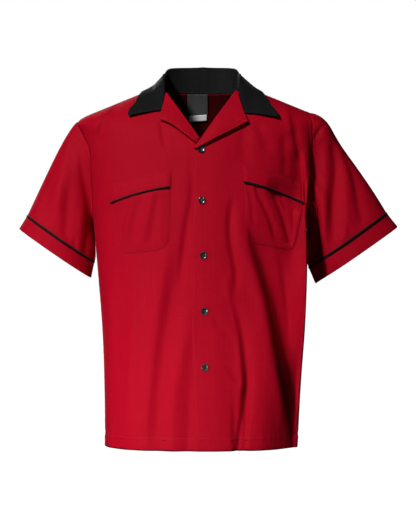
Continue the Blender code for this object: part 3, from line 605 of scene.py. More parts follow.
SLEEVE_FRONT_FOLDS = {
    "minus": [
        Fold(0.0050, 0.016, 0.014, ((-0.270, -0.085), (-0.283, -0.148), (-0.294, -0.200), (-0.300, -0.290))),
        Fold(-0.0042, 0.008, 0.008, ((-0.252, -0.100), (-0.252, -0.154), (-0.247, -0.195), (-0.239, -0.235),
                                     (-0.234, -0.285), (-0.232, -0.360))),
        Fold(-0.0036, 0.010, 0.012, ((-0.276, -0.200), (-0.281, -0.260), (-0.283, -0.360))),
        Fold(-0.0022, 0.010, 0.012, ((-0.312, -0.190), (-0.322, -0.240), (-0.336, -0.300))),
        Fold(-0.0026, 0.004, 0.004, ((-0.262, -0.310), (-0.265, -0.345), (-0.267, -0.365))),
        Fold(-0.0030, 0.004, 0.005, ((-0.240, -0.305), (-0.244, -0.345), (-0.247, -0.372))),
        Fold(0.0030, 0.008, 0.008, ((-0.252, -0.250), (-0.256, -0.310), (-0.259, -0.360))),
    ],
    "plus": [
        Fold(-0.0200, 0.020, 0.015, ((0.218, -0.150), (0.225, -0.205), (0.227, -0.260), (0.226, -0.320),
                                     (0.226, -0.460))),
        Fold(-0.0034, 0.004, 0.006, ((0.256, -0.070), (0.244, -0.090), (0.226, -0.122))),
        Fold(-0.0062, 0.010, 0.014, ((0.266, -0.075), (0.271, -0.126), (0.276, -0.178), (0.271, -0.235),
                                     (0.267, -0.293), (0.270, -0.360))),
        Fold(0.0050, 0.012, 0.014, ((0.252, -0.100), (0.253, -0.178), (0.249, -0.241), (0.248, -0.380))),
        Fold(-0.0042, 0.008, 0.013, ((0.283, -0.090), (0.300, -0.150), (0.315, -0.200), (0.322, -0.247),
                                     (0.334, -0.310))),
        Fold(0.0044, 0.014, 0.016, ((0.286, -0.150), (0.294, -0.215), (0.297, -0.290), (0.300, -0.360))),
        Fold(-0.0026, 0.006, 0.007, ((0.366, -0.215), (0.374, -0.245), (0.380, -0.290))),
        Fold(-0.0022, 0.005, 0.005, ((0.300, -0.285), (0.304, -0.320), (0.308, -0.350))),
    ],
}
SLEEVE_BACK_FOLDS = {
    "minus": [
        Fold(-0.0060, 0.014, 0.018, ((-0.246, -0.110), (-0.262, -0.200), (-0.266, -0.360))),
        Fold(0.0050, 0.014, 0.014, ((-0.280, -0.110), (-0.296, -0.210), (-0.302, -0.350))),
        Fold(-0.0040, 0.010, 0.014, ((-0.310, -0.160), (-0.326, -0.230), (-0.338, -0.320))),
    ],
    "plus": [
        Fold(-0.0060, 0.016, 0.013, ((0.252, -0.100), (0.262, -0.200), (0.262, -0.370))),
        Fold(0.0046, 0.014, 0.014, ((0.280, -0.120), (0.298, -0.220), (0.306, -0.350))),
        Fold(-0.0036, 0.012, 0.010, ((0.318, -0.160), (0.336, -0.230), (0.350, -0.320))),
    ],
}


# %% Sleeve and cuff surfaces
def armhole_ring(side, turn):
    """The armhole seam: 0 at its top, a quarter at the front, a half at the armpit."""
    turn = turn % 1.0
    front = turn <= 0.5
    front_angle, front_z = armhole(side, "front", 1 - 2 * np.minimum(turn, 0.5), gap=0)
    back_angle, back_z = armhole(side, "back", np.maximum(2 * turn - 1, 0), gap=0)
    return skin(np.where(front, front_angle, back_angle), np.where(front, front_z, back_z), side)


def width_ring(sleeve, ends, turn, grow=0.0, tuck=0.0):
    """A flattened ring across a sleeve, from the outer end of its width round the front."""
    out_x, out_z, in_x, in_z = ends
    outer = np.array((sleeve.side * out_x, 0, out_z))
    inner = np.array((sleeve.side * in_x, 0, in_z))
    middle, arm = (outer + inner) / 2, (outer - inner) / 2
    angle, grow = (np.asarray(v, float)[..., None] for v in (2 * math.pi * turn, grow))
    arm = arm + unit(arm) * (grow - tuck)
    flat = UNDERARM_FLAT[sleeve.side] * np.exp(-(((1 + np.cos(angle)) / 0.34) ** 2))
    forward = np.array((0, -1, 0)) * (sleeve.half_depth * (1 - flat) + grow)
    power = lerp(1, LAID_FLAT, smoothstep(-0.2, 0.6, np.cos(angle)))
    across = np.sign(np.sin(angle)) * np.abs(np.sin(angle)) ** power
    return middle + arm * np.cos(angle) + forward * across


def sleeve_base(sleeve, turn, along):
    start = armhole_ring(sleeve.side, turn)
    end = width_ring(sleeve, sleeve[1:5], turn)
    chord = np.linalg.norm(end - start, axis=-1, keepdims=True)
    leave = unit(xyz(sleeve.side * 0.93, -start[..., 1] * 9, -0.37))
    arrive = unit(np.array((sleeve.side * sleeve.fall_x, 0, -0.9)))
    start = start + leave * 0.0003
    t = np.asarray(along)[..., None]
    return (
        start * (1 + 2 * t) * (1 - t) ** 2
        + leave * chord * SLEEVE_START * t * (1 - t) ** 2
        + end * t * t * (3 - 2 * t)
        + arrive * chord * SLEEVE_END * t * t * (t - 1)
    )


def outward(place, u, v, centre, step=0.003):
    """The unit normal of a tube, pointing away from a centre line."""
    normal = unit(np.cross(place(u + step, v) - place(u - step, v), place(u, v + step) - place(u, v - step)))
    away = place(u, v) - centre
    return normal * np.sign(np.sum(normal * away, axis=-1, keepdims=True))


def sleeve_place(name):
    sleeve = SLEEVES[name]

    def base(turn, along):
        return sleeve_base(sleeve, turn, along)

    def place(turn, along):
        spot = base(turn, along)
        centre = (base(turn, along) + base(turn + 0.5, along)) / 2
        normal = outward(base, turn, along, centre)
        to_top = np.minimum(turn, 1 - turn)
        free = smoothstep(0.0, 0.07, to_top) * smoothstep(0.0, 0.06, np.abs(turn - 0.5))
        folds = np.where(
            turn < 0.5,
            fold_height(SLEEVE_FRONT_FOLDS[name], spot[..., 0], spot[..., 2]),
            fold_height(SLEEVE_BACK_FOLDS[name], spot[..., 0], spot[..., 2]),
        )
        held = smoothstep(0.0, 0.10, along) * (1 - 0.75 * smoothstep(0.90, 1.0, along))
        head = np.exp(-(((along - 0.23) / 0.155) ** 2)) * (1 - smoothstep(0.0, 0.12, to_top))
        gusset = np.exp(-(((along - 0.13) / 0.13) ** 2)) * (1 - smoothstep(0.0, 0.08, np.abs(turn - 0.5)))
        out = folds * free * held + SLEEVE_HEAD[sleeve.side] * head + UNDERARM_FULL[sleeve.side] * gusset
        length = 0.03 + 0.19 * free
        out = out + pressed_seam(along * length, 0.0018, 0.0022, 0.0)
        out = out + puckers(turn * 0.45, along * length, 0.0005, 0.009, 0.016)
        out = out + puckers(turn * 0.40, (1 - along) * length, 0.0009, 0.013, 0.017)
        return spot + normal * out[..., None]

    return place


def cuff_place(name):
    """Down the outside of the band, round its lower edge and up the inside."""
    sleeve = SLEEVES[name]

    def place(turn, along):
        inside = along > 0.5
        down = np.where(inside, 2 - 2 * along, 2 * along)
        bend = np.sqrt(np.maximum(1 - ((down - 0.93) / 0.07).clip(0, 1) ** 2, 0.0))
        ripple = puckers(turn * 0.4, down * 0.03, 0.0004, 0.010, 0.015)
        ripple = ripple + puckers(turn * 0.4, (1 - down) * 0.03, 0.0003, 0.012, 0.031)
        grow = np.where(inside, CUFF_RISE - 0.0012 - 0.0010 * bend, CUFF_RISE - 0.0012 + 0.0010 * bend)
        seam = width_ring(sleeve, sleeve[1:5], turn, grow + ripple)
        edge = width_ring(sleeve, sleeve[5:9], turn, grow + ripple)
        return lerp(seam, edge, (0.015 + 0.985 * down)[..., None])

    return place


# %% [markdown]
# ## Collar and lapels
# A camp collar is one piece: a stand that rises from the neck seam, a fold, and a leaf that lies
# back down over the shoulders and ends in points. Ribs from the neck seam to the edge, each with
# four points, carry it. The lapels are the top of each front, rolled over and laid flat, which
# shows the red facing inside out.

# %% Collar and lapel tables
Rib = namedtuple("Rib", "share rise lean mid_x mid_y mid_z edge_angle edge_z edge_out")
COLLAR_BACK = [
    Rib(0.00, 0.056, 0.004, 0.000, 0.088, 0.011, 180.0, -0.024, 0.006),
    Rib(0.25, 0.050, 0.004, 0.076, 0.062, 0.013, 133.0, -0.021, 0.006),
    Rib(0.36, 0.029, 0.003, 0.096, 0.036, 0.008, 110.0, -0.0145, 0.004),
    Rib(0.50, 0.018, 0.003, 0.102, 0.000, 0.003, 90.0, -0.0125, 0.003),
    Rib(0.62, 0.015, 0.004, 0.103, -0.026, -0.006, 63.5, -0.021, 0.005),
    Rib(0.75, 0.013, 0.004, 0.103, -0.048, -0.018, 44.5, -0.041, 0.006),
    Rib(0.88, 0.0082, 0.002, 0.0935, -0.070, -0.041, 37.0, -0.060, 0.008),
]
COLLAR_FRONT = {
    -1: Rib(1.00, 0.003, 0.000, 0.0838, -0.0852, -0.0562, 33.2, -0.0735, 0.009),
    1: Rib(1.00, 0.003, 0.000, 0.0840, -0.0886, -0.0618, 34.2, -0.0768, 0.009),
}
FOLD_RADIUS = 0.0026
STAND_ROWS, FOLD_ROWS, LEAF_ROWS = 3, 3, 5
LEAF_KNEE = 0.4
Lapel = namedtuple(
    "Lapel",
    "side first_row lift flare roll_x roll_z lower_x lower_z point_share point_x point_z notch_x notch_z",
)
LAPELS = {
    "minus": Lapel(
        -1, 15, 0.0038, 0.0055, 0.0095, -0.1190, 0.0128, -0.1292, 0.6, 0.0895, -0.0810, 0.0818, -0.0572
    ),
    "plus": Lapel(
        1, 14, 0.0056, 0.0028, -0.0160, -0.1412, -0.0105, -0.1388, 2 / 3, 0.0912, -0.0860, 0.0818, -0.0630
    ),
}
LAPEL_FOLD_SHARE, LAPEL_GAP, LAPEL_TOP_GAP, LAPEL_LIFT = 0.3, 0.0004, 0.0040, 0.0066


# %% Collar and lapel surfaces
def rib_value(name, share):
    sides = [column(COLLAR_BACK + [COLLAR_FRONT[s]], "share", name, np.abs(share)) for s in (-1, 1)]
    return np.where(share >= 0, sides[1], sides[0])


def collar_lines(share):
    side = np.where(share >= 0, 1, -1)
    seam = neck_seam(share, 0.0004)
    away = unit(seam * np.array((1, 1, 0)))
    rise, lean = rib_value("rise", share), rib_value("lean", share)
    fold = seam + xyz(0, 0, rise) + away * lean[..., None]
    mid = xyz(side * rib_value("mid_x", share), rib_value("mid_y", share), rib_value("mid_z", share))
    edge_angle = np.radians(rib_value("edge_angle", share))
    edge = skin(edge_angle, rib_value("edge_z", share), side, rib_value("edge_out", share))
    return seam, fold, mid, edge


def collar_place(across, up):
    seam, fold, mid, edge = collar_lines(across * 2 - 1)
    rise, leaf = unit(fold - seam), mid - fold
    away = unit(leaf - rise * np.sum(leaf * rise, axis=-1, keepdims=True))
    row = (up * (STAND_ROWS + FOLD_ROWS + LEAF_ROWS))[..., None]
    stand = lerp(seam, fold - away * FOLD_RADIUS, row / STAND_ROWS)
    turn = math.pi * (row - STAND_ROWS) / FOLD_ROWS
    bend = fold + (rise * np.sin(turn) - away * np.cos(turn)) * FOLD_RADIUS
    part = (row - STAND_ROWS - FOLD_ROWS) / LEAF_ROWS
    upper = lerp(fold + away * FOLD_RADIUS, mid, part / LEAF_KNEE)
    lower = lerp(mid, edge, (part - LEAF_KNEE) / (1 - LEAF_KNEE))
    knee = smoothstep(LEAF_KNEE - 0.16, LEAF_KNEE + 0.16, part)
    leaf = lerp(upper, lower, knee)
    return np.where(row < STAND_ROWS, stand, np.where(row < STAND_ROWS + FOLD_ROWS, bend, leaf))


def lapel_outer(lapel, up):
    """(x, z) up a lapel's outer edge: from its lower end to the point, then to the notch."""
    first = up / lapel.point_share
    rest = (up - lapel.point_share) / (1 - lapel.point_share)
    x = np.where(up < lapel.point_share, lerp(lapel.lower_x, lapel.point_x, first),
                 lerp(lapel.point_x, lapel.notch_x, rest))
    z = np.where(up < lapel.point_share, lerp(lapel.lower_z, lapel.point_z, first),
                 lerp(lapel.point_z, lapel.notch_z, rest))
    bow = 0.0050 if lapel.side < 0 else 0.0
    return x, z + bow * np.sin(math.pi * np.clip(first, 0, 1) ** 1.4)


def lapel_place(name):
    lapel = LAPELS[name]
    side, roll = lapel.side, ROLL[lapel.side]
    slope = unit(np.array((roll.top_x - roll.low_x, 0, roll.top_z - roll.low_z)))
    beyond = np.array((-side * slope[2], 0, slope[0]))

    def place(across, up):
        at_end = up <= 1e-6
        turned_x, turned_z = roll_line(side, lerp(lapel.first_row, ROW_ROLL, up))
        turned_x = np.where(at_end, lapel.roll_x, turned_x)
        turned_z = np.where(at_end, lapel.roll_z, turned_z)
        down = LAPEL_TOP_GAP * up**4
        turned_x, turned_z = turned_x - slope[0] * down, turned_z - slope[2] * down
        lift = lerp(lapel.lift, LAPEL_LIFT, up)
        part = np.clip((across - LAPEL_FOLD_SHARE) / (1 - LAPEL_FOLD_SHARE), 0, 1)
        outer_x, outer_z = lapel_outer(lapel, up)
        x, z = lerp(turned_x, outer_x, part), lerp(turned_z, outer_z, part)
        belly = 0.0022 * np.sin(math.pi * part) * np.sin(math.pi * np.clip(up * 1.1, 0, 1))
        flat = front_skin(x, z, side, lift + belly + lapel.flare * part**2 * (1 - up**6))
        angle = math.pi * across / LAPEL_FOLD_SHARE
        radius = lift / 2
        base = front_skin(turned_x, turned_z, side, radius - radius * np.cos(angle))
        bend = base + beyond * (radius * np.sin(angle) + LAPEL_GAP)[..., None]
        return np.where((across >= LAPEL_FOLD_SHARE)[..., None], flat, bend)

    return place


# %% [markdown]
# ## Pockets
# Each pocket is a bag sewn flat to the front and a flap band across its top, edged below with
# black piping. The bag hangs from the band, so small folds fan down from the piping, more of
# them on the wearer's left. The bag stands off the front in its middle and is pulled down to it
# along the stitching.

# %% Pocket tables
Pocket = namedtuple(
    "Pocket",
    "side inner_x outer_x top_inner_z top_outer_z pipe_inner_z pipe_outer_z "
    "bottom_inner_x bottom_outer_x bottom_inner_z bottom_outer_z inner_corner outer_corner",
)
POCKETS = {
    "minus": Pocket(
        -1, 0.065, 0.188, -0.181, -0.208, -0.217, -0.249, 0.067, 0.172, -0.343, -0.352, 0.030, 0.012
    ),
    "plus": Pocket(
        1, 0.0805, 0.204, -0.172, -0.204, -0.207, -0.248, 0.086, 0.186, -0.328, -0.345, 0.024, 0.014
    ),
}
FLAP_BOW, FLAP_OVER_BAG, PIPING_RADIUS = 0.004, 0.006, 0.0019
BAG_FOLDS = {
    "minus": [
        Fold(-0.0020, 0.007, 0.007, ((-0.118, -0.218), (-0.134, -0.280), (-0.150, -0.350))),
        Fold(0.0024, 0.008, 0.008, ((-0.132, -0.220), (-0.150, -0.280), (-0.160, -0.350))),
        Fold(-0.0022, 0.006, 0.006, ((-0.146, -0.228), (-0.160, -0.280), (-0.170, -0.340))),
        Fold(0.0022, 0.008, 0.008, ((-0.098, -0.214), (-0.112, -0.280), (-0.128, -0.350))),
        Fold(-0.0018, 0.007, 0.008, ((-0.084, -0.212), (-0.096, -0.270), (-0.108, -0.345))),
    ],
    "plus": [
        Fold(-0.0028, 0.003, 0.005, ((0.100, -0.190), (0.107, -0.218), (0.114, -0.250))),
        Fold(-0.0026, 0.004, 0.007, ((0.088, -0.216), (0.097, -0.250), (0.100, -0.300))),
        Fold(-0.0038, 0.005, 0.010, ((0.108, -0.216), (0.124, -0.256), (0.138, -0.290), (0.152, -0.345))),
        Fold(-0.0042, 0.005, 0.010, ((0.132, -0.200), (0.148, -0.242), (0.164, -0.284), (0.180, -0.340))),
        Fold(-0.0030, 0.003, 0.005, ((0.152, -0.204), (0.160, -0.236), (0.168, -0.272))),
        Fold(0.0022, 0.006, 0.006, ((0.120, -0.220), (0.134, -0.258), (0.152, -0.304))),
        Fold(0.0026, 0.005, 0.007, ((0.156, -0.240), (0.172, -0.284), (0.184, -0.326))),
        Fold(-0.0024, 0.008, 0.006, ((0.184, -0.240), (0.186, -0.280), (0.178, -0.340))),
        Fold(-0.0036, 0.004, 0.006, ((0.142, -0.318), (0.158, -0.329), (0.176, -0.333), (0.192, -0.328))),
    ],
}


# %% Pocket surfaces
def pocket_line(pocket, inner_z, outer_z, across, bow=0.0):
    x = lerp(pocket.inner_x, pocket.outer_x, across)
    return x, lerp(inner_z, outer_z, across) + bow * 4 * across * (1 - across)


def flap_low(pocket, across):
    return pocket_line(pocket, pocket.pipe_inner_z, pocket.pipe_outer_z, across, FLAP_BOW)


def bag_spot(pocket, across, up):
    """(x, z) on a pocket bag, towards the side: up from its rounded bottom."""
    top_x, top_z = flap_low(pocket, across)
    low_x = lerp(pocket.bottom_inner_x, pocket.bottom_outer_x, across)
    low_z = lerp(pocket.bottom_inner_z, pocket.bottom_outer_z, across)
    width = pocket.bottom_outer_x - pocket.bottom_inner_x
    for corner, away in (
        (pocket.inner_corner, across * width),
        (pocket.outer_corner, (1 - across) * width),
    ):
        reach = np.maximum(corner - away, 0.0)
        low_z = low_z + corner - np.sqrt(corner**2 - reach**2)
    return lerp(low_x, top_x, up), lerp(low_z, top_z + FLAP_OVER_BAG, up)


def bag_place(name):
    pocket = POCKETS[name]

    def place(across, up):
        across, up = crowd_ends(across, 0.75), crowd_ends(up, 0.35)
        x, z = bag_spot(pocket, across, up)
        side_off = np.minimum(across, 1 - across) * 0.115
        low_off = up * 0.12
        off = np.minimum(side_off, low_off)
        loose = smoothstep(0.002, 0.022, off)
        out = 0.0020 + 0.0024 * loose * (0.55 + 0.45 * up)
        out = out - 0.0009 * np.exp(-(((off - 0.002) / 0.0016) ** 2))
        out = out + puckers(np.where(side_off < low_off, z, x), off - 0.002, 0.0003, 0.006, 0.011)
        out = out + loose * fold_height(BAG_FOLDS[name], pocket.side * x, z)
        return front_skin(x, z, pocket.side, out)

    return place


def flap_place(name):
    pocket = POCKETS[name]

    def place(across, up):
        across, up = crowd_ends(across, 0.5), crowd_ends(up, 0.4)
        low = flap_low(pocket, across)
        top = pocket_line(pocket, pocket.top_inner_z, pocket.top_outer_z, across)
        x, z = lerp(low[0], top[0], up), lerp(low[1] + PIPING_RADIUS * 0.6, top[1], up)
        off = np.minimum(np.minimum(across, 1 - across) * 0.125, (1 - up) * 0.034)
        out = 0.0041 + 0.0010 * smoothstep(0.001, 0.010, off) - 0.0020 * up
        out = out - 0.0008 * np.exp(-(((off - 0.002) / 0.0014) ** 2))
        out = out + puckers(x, (1 - up) * 0.034 - 0.002, 0.0003, 0.006, 0.012)
        out = out + puckers(x, up * 0.034, 0.0003, 0.008, 0.014)
        return front_skin(x, z, pocket.side, out)

    return place

# %% [markdown]
# ## Finishes
# Poplin is a tight plain weave: at arm's length it reads as a smooth colour with faint uneven
# streaks where a thread was thicker, and a soft sheen at grazing angles. The weave, the slubs and
# the small handling wrinkles are shared by red and black cloth, so each is a node group that
# puts out a height or a tone, while each material keeps its own colour, roughness and sheen.


# %% A node group with named sockets
def new_group(name, inputs, outputs):
    tree = bpy.data.node_groups.new(name, "ShaderNodeTree")
    for label, kind, default in inputs:
        socket = tree.interface.new_socket(name=label, in_out="INPUT", socket_type=kind)
        if default is not None:
            socket.default_value = default
    for label, kind in outputs:
        tree.interface.new_socket(name=label, in_out="OUTPUT", socket_type=kind)
    return tree, tree.nodes.new("NodeGroupInput"), tree.nodes.new("NodeGroupOutput")


def add(tree, kind, links=(), **settings):
    """A node with its settings, its plain input values, and links into its inputs."""
    node = tree.nodes.new(kind)
    for key, value in settings.items():
        if key == "values":
            for socket, number in value.items():
                node.inputs[socket].default_value = number
        else:
            setattr(node, key, value)
    for socket, source in dict(links).items():
        tree.links.new(source, node.inputs[socket])
    return node


def maths(tree, operation, first, second):
    """A Math node; each side is a number or a socket."""
    node = add(tree, "ShaderNodeMath", operation=operation)
    for socket, side in zip(node.inputs, (first, second)):
        if isinstance(side, (int, float)):
            socket.default_value = side
        elif side is not None:
            tree.links.new(side, socket)
    return node.outputs[0]


# %% Plain weave
# Warp and weft pass over and under each other, so the height is the product of two waves.
WEAVE, start, end = new_group(
    "plain_weave",
    [("Cloth", "NodeSocketVector", None), ("Threads", "NodeSocketFloat", 1900.0)],
    [("Height", "NodeSocketFloat")],
)
split = add(WEAVE, "ShaderNodeSeparateXYZ", {"Vector": start.outputs["Cloth"]})
waves = [
    maths(WEAVE, "SINE", maths(WEAVE, "MULTIPLY", split.outputs[axis], start.outputs["Threads"]), None)
    for axis in ("X", "Y")
]
WEAVE.links.new(
    maths(WEAVE, "MULTIPLY_ADD", maths(WEAVE, "MULTIPLY", *waves), 0.5), end.inputs["Height"]
)
print("weave pitch", round(2 * math.pi / 1900 * 1000, 2), "mm")

# %% Slubs
# Thicker threads run a hand's width along the cloth, so noise is stretched along each thread.
SLUBS, start, end = new_group(
    "thread_slubs",
    [("Cloth", "NodeSocketVector", None), ("Width", "NodeSocketFloat", 520.0),
     ("Length", "NodeSocketFloat", 9.0)],
    [("Tone", "NodeSocketFloat")],
)
split = add(SLUBS, "ShaderNodeSeparateXYZ", {"Vector": start.outputs["Cloth"]})
tones = []
for thin, long in (("X", "Y"), ("Y", "X")):
    place = add(SLUBS, "ShaderNodeCombineXYZ", {
        "X": maths(SLUBS, "MULTIPLY", split.outputs[thin], start.outputs["Width"]),
        "Y": maths(SLUBS, "MULTIPLY", split.outputs[long], start.outputs["Length"]),
    }, values={"Z": 0.0 if thin == "X" else 7.0})
    tones.append(add(SLUBS, "ShaderNodeTexNoise", {"Vector": place.outputs[0]},
                     values={"Scale": 1.0, "Detail": 2.0, "Roughness": 0.6}).outputs["Fac"])
both = maths(SLUBS, "ADD", maths(SLUBS, "MULTIPLY", tones[0], 0.65), maths(SLUBS, "MULTIPLY", tones[1], 0.35))
SLUBS.links.new(both, end.inputs["Tone"])

# %% Handling wrinkles
# Faint dents left by folding and wearing: two sizes of noise on the piece itself.
WRINKLES, start, end = new_group(
    "handling_wrinkles",
    [("Place", "NodeSocketVector", None), ("Size", "NodeSocketFloat", 26.0)],
    [("Height", "NodeSocketFloat")],
)
broad = add(WRINKLES, "ShaderNodeTexNoise",
            {"Vector": start.outputs["Place"], "Scale": start.outputs["Size"]},
            values={"Detail": 2.0, "Roughness": 0.45, "Distortion": 0.6})
small = add(WRINKLES, "ShaderNodeTexNoise", {
    "Vector": start.outputs["Place"],
    "Scale": maths(WRINKLES, "MULTIPLY", start.outputs["Size"], 4.3),
}, values={"Detail": 2.0, "Roughness": 0.5})
WRINKLES.links.new(
    maths(WRINKLES, "ADD", broad.outputs["Fac"], maths(WRINKLES, "MULTIPLY", small.outputs["Fac"], 0.22)),
    end.inputs["Height"],
)


# %% Cloth materials
def poplin(name, dark, light, roughness, sheen, tint, weave=0.35, wrinkle=0.0016):
    """Woven cloth between a dark and a light tone, with its weave and wrinkles as bumps."""
    made = bpy.data.materials.new(name)
    made.use_nodes = True
    tree = made.node_tree
    shader = tree.nodes["Principled BSDF"]
    cloth_uv = add(tree, "ShaderNodeUVMap", uv_map="cloth").outputs["UV"]
    body_place = add(tree, "ShaderNodeTexCoord").outputs["Object"]
    weave_node = add(tree, "ShaderNodeGroup", node_tree=WEAVE)
    slub_node = add(tree, "ShaderNodeGroup", node_tree=SLUBS)
    wrinkle_node = add(tree, "ShaderNodeGroup", node_tree=WRINKLES)
    for node, socket, source in (
        (weave_node, "Cloth", cloth_uv), (slub_node, "Cloth", cloth_uv), (wrinkle_node, "Place", body_place)
    ):
        tree.links.new(source, node.inputs[socket])
    tone = add(tree, "ShaderNodeMapRange", {"Value": slub_node.outputs["Tone"]},
               values={"From Min": 0.30, "From Max": 0.70})
    colour = add(tree, "ShaderNodeMix", {"Factor": tone.outputs["Result"]}, data_type="RGBA")
    colour.inputs["A"].default_value = (*dark, 1)
    colour.inputs["B"].default_value = (*light, 1)
    tree.links.new(colour.outputs["Result"], shader.inputs["Base Color"])
    gloss = add(tree, "ShaderNodeMapRange", {"Value": slub_node.outputs["Tone"]},
                values={"From Min": 0.25, "From Max": 0.75, "To Min": roughness + 0.05,
                        "To Max": roughness - 0.05})
    tree.links.new(gloss.outputs["Result"], shader.inputs["Roughness"])
    soft = add(tree, "ShaderNodeBump", {"Height": wrinkle_node.outputs["Height"]},
               values={"Strength": 1.0, "Distance": wrinkle})
    fine = add(tree, "ShaderNodeBump", {"Height": weave_node.outputs["Height"], "Normal": soft.outputs[0]},
               values={"Strength": weave, "Distance": 0.00012})
    tree.links.new(fine.outputs[0], shader.inputs["Normal"])
    shader.inputs["Sheen Weight"].default_value = sheen
    shader.inputs["Sheen Roughness"].default_value = 0.45
    shader.inputs["Sheen Tint"].default_value = (*tint, 1)
    shader.inputs["Specular IOR Level"].default_value = 0.07
    return made


RED_POPLIN = poplin("red_poplin", (0.385, 0.0004, 0.0110), (0.465, 0.0008, 0.0150), 0.70, 0.015,
                    (1.0, 0.25, 0.32))
# Painted shade: the inner face of the cloth gets the same red at about a tenth of its brightness, which
# stands in for the dim inside of the shirt and the shade under the lapels. Real poplin is the same red on
# both sides.
RED_PAINTED_SHADE = poplin("red_poplin_painted_shade", (0.040, 0.0001, 0.0010), (0.055, 0.0002, 0.0014), 0.74, 0.02,
                        (1.0, 0.25, 0.32))
BLACK_POPLIN = poplin("black_poplin", (0.0070, 0.0070, 0.0072), (0.0105, 0.0105, 0.0108), 0.68, 0.04,
                      (0.8, 0.8, 0.8))


# %% Thread, label and button materials
def plain(name, tones, roughness, scale, bump=0.0, coat=0.0, grain=(1, 1, 1)):
    """A small part's finish: noise between two tones, a little bump, and a clear coat if it has one."""
    made = bpy.data.materials.new(name)
    made.use_nodes = True
    tree = made.node_tree
    shader = tree.nodes["Principled BSDF"]
    place = add(tree, "ShaderNodeMapping", {"Vector": add(tree, "ShaderNodeTexCoord").outputs["Object"]})
    place.inputs["Scale"].default_value = grain
    noise = add(tree, "ShaderNodeTexNoise", {"Vector": place.outputs[0]},
                values={"Scale": scale, "Detail": 3.0})
    ramp = add(tree, "ShaderNodeValToRGB", {"Fac": noise.outputs["Fac"]})
    for element, spot, tone in zip(ramp.color_ramp.elements, (0.35, 0.65), tones):
        element.position, element.color = spot, (*tone, 1)
    tree.links.new(ramp.outputs["Color"], shader.inputs["Base Color"])
    gloss = add(tree, "ShaderNodeMapRange", {"Value": noise.outputs["Fac"]},
                values={"To Min": roughness * 0.85, "To Max": roughness * 1.15})
    tree.links.new(gloss.outputs["Result"], shader.inputs["Roughness"])
    if bump:
        dents = add(tree, "ShaderNodeBump", {"Height": noise.outputs["Fac"]},
                    values={"Strength": 0.6, "Distance": bump})
        tree.links.new(dents.outputs[0], shader.inputs["Normal"])
    shader.inputs["Coat Weight"].default_value = coat
    shader.inputs["Coat Roughness"].default_value = 0.12
    return made


RED_THREAD = plain("red_thread", ((0.33, 0.005, 0.016), (0.46, 0.010, 0.026)), 0.50, 3000, 0.00004)
BLACK_THREAD = plain("black_thread", ((0.010, 0.010, 0.011), (0.022, 0.022, 0.023)), 0.50, 3000, 0.00004)
LABEL_WEAVE = plain("label_satin", ((0.060, 0.060, 0.062), (0.085, 0.085, 0.088)), 0.42, 900, 0.00006,
                    grain=(0.12, 1, 1))
WHITE_TAPE = plain("size_tape", ((0.78, 0.77, 0.76), (0.88, 0.87, 0.86)), 0.60, 1200, 0.00006,
                   grain=(0.15, 1, 1))
BUTTON_RESIN = plain("button_resin", ((0.0060, 0.0060, 0.0065), (0.0120, 0.0120, 0.0130)), 0.30, 240,
                     0.00002, coat=1.0, grain=(1, 1, 0.3))
print("materials", [m.name for m in bpy.data.materials if not m.name.startswith("m_")])

# %% [markdown]
# ## From a flat grid to a piece of cloth
# Every cloth piece starts as a flat grid, like cloth on the table. Its points go to their places,
# its UV map keeps the flat place in metres so that the weave stays true, and a Solidify wall
# grows inwards from the outer face. A tube's two edges are merged where they meet.


# %% Cloth pieces
def finished(name, bm, finish, nodes=()):
    mesh = bpy.data.meshes.new(name)
    bm.to_mesh(mesh)
    bm.free()
    mesh.materials.append(finish)
    mesh.shade_smooth()
    piece = bpy.data.objects.new(name, mesh)
    bpy.context.scene.collection.objects.link(piece)
    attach(piece, "root")
    if nodes:
        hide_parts(*nodes)
    return piece


def laid_grid(cells, place, size):
    """A flat grid moved to its place, with its flat place in metres as its UV map."""
    grid = bmesh.new()
    bmesh.ops.create_grid(grid, x_segments=cells[0], y_segments=cells[1], size=0.5)
    grid.verts.index_update()
    flat = np.array([v.co[:2] for v in grid.verts]) + 0.5
    for vertex, spot in zip(grid.verts, place(flat[:, 0], flat[:, 1]).tolist()):
        vertex.co = spot
    cloth_uv = grid.loops.layers.uv.new("cloth")
    spread = (flat * size).tolist()
    for face in grid.faces:
        for loop in face.loops:
            loop[cloth_uv].uv = spread[loop.vert.index]
    return grid


def cloth(name, cells, place, finish, size, nodes, wall=WALL, offset=-1.0, closed=False, inside=None):
    """A grid of cells over a flat size in metres, put in its place and given a wall."""
    grid = laid_grid(cells, place, size)
    if closed:
        bmesh.ops.remove_doubles(grid, verts=grid.verts, dist=1e-5)
    grid.normal_update()
    core = sum((v.co for v in grid.verts), Vector()) / len(grid.verts)
    core.y = core.y if closed else 0.0
    facing = sum((f.calc_center_median() - core).dot(f.normal) * f.calc_area() for f in grid.faces)
    if facing < 0:
        bmesh.ops.reverse_faces(grid, faces=grid.faces)
    area = sum(f.calc_area() for f in grid.faces)
    piece = finished(name, grid, finish, nodes)
    thick = piece.modifiers.new("Wall", "SOLIDIFY")
    thick.thickness, thick.offset = wall, offset
    # The inner face of the wall can take its own finish. The pieces here give it the painted-shade red, which
    # darkens the inside of the shirt and the lapels' undersides.
    if inside:
        piece.data.materials.append(inside)
        thick.material_offset = 1
    print(name, "cells", cells, "area", round(area, 4), "m2")
    return piece


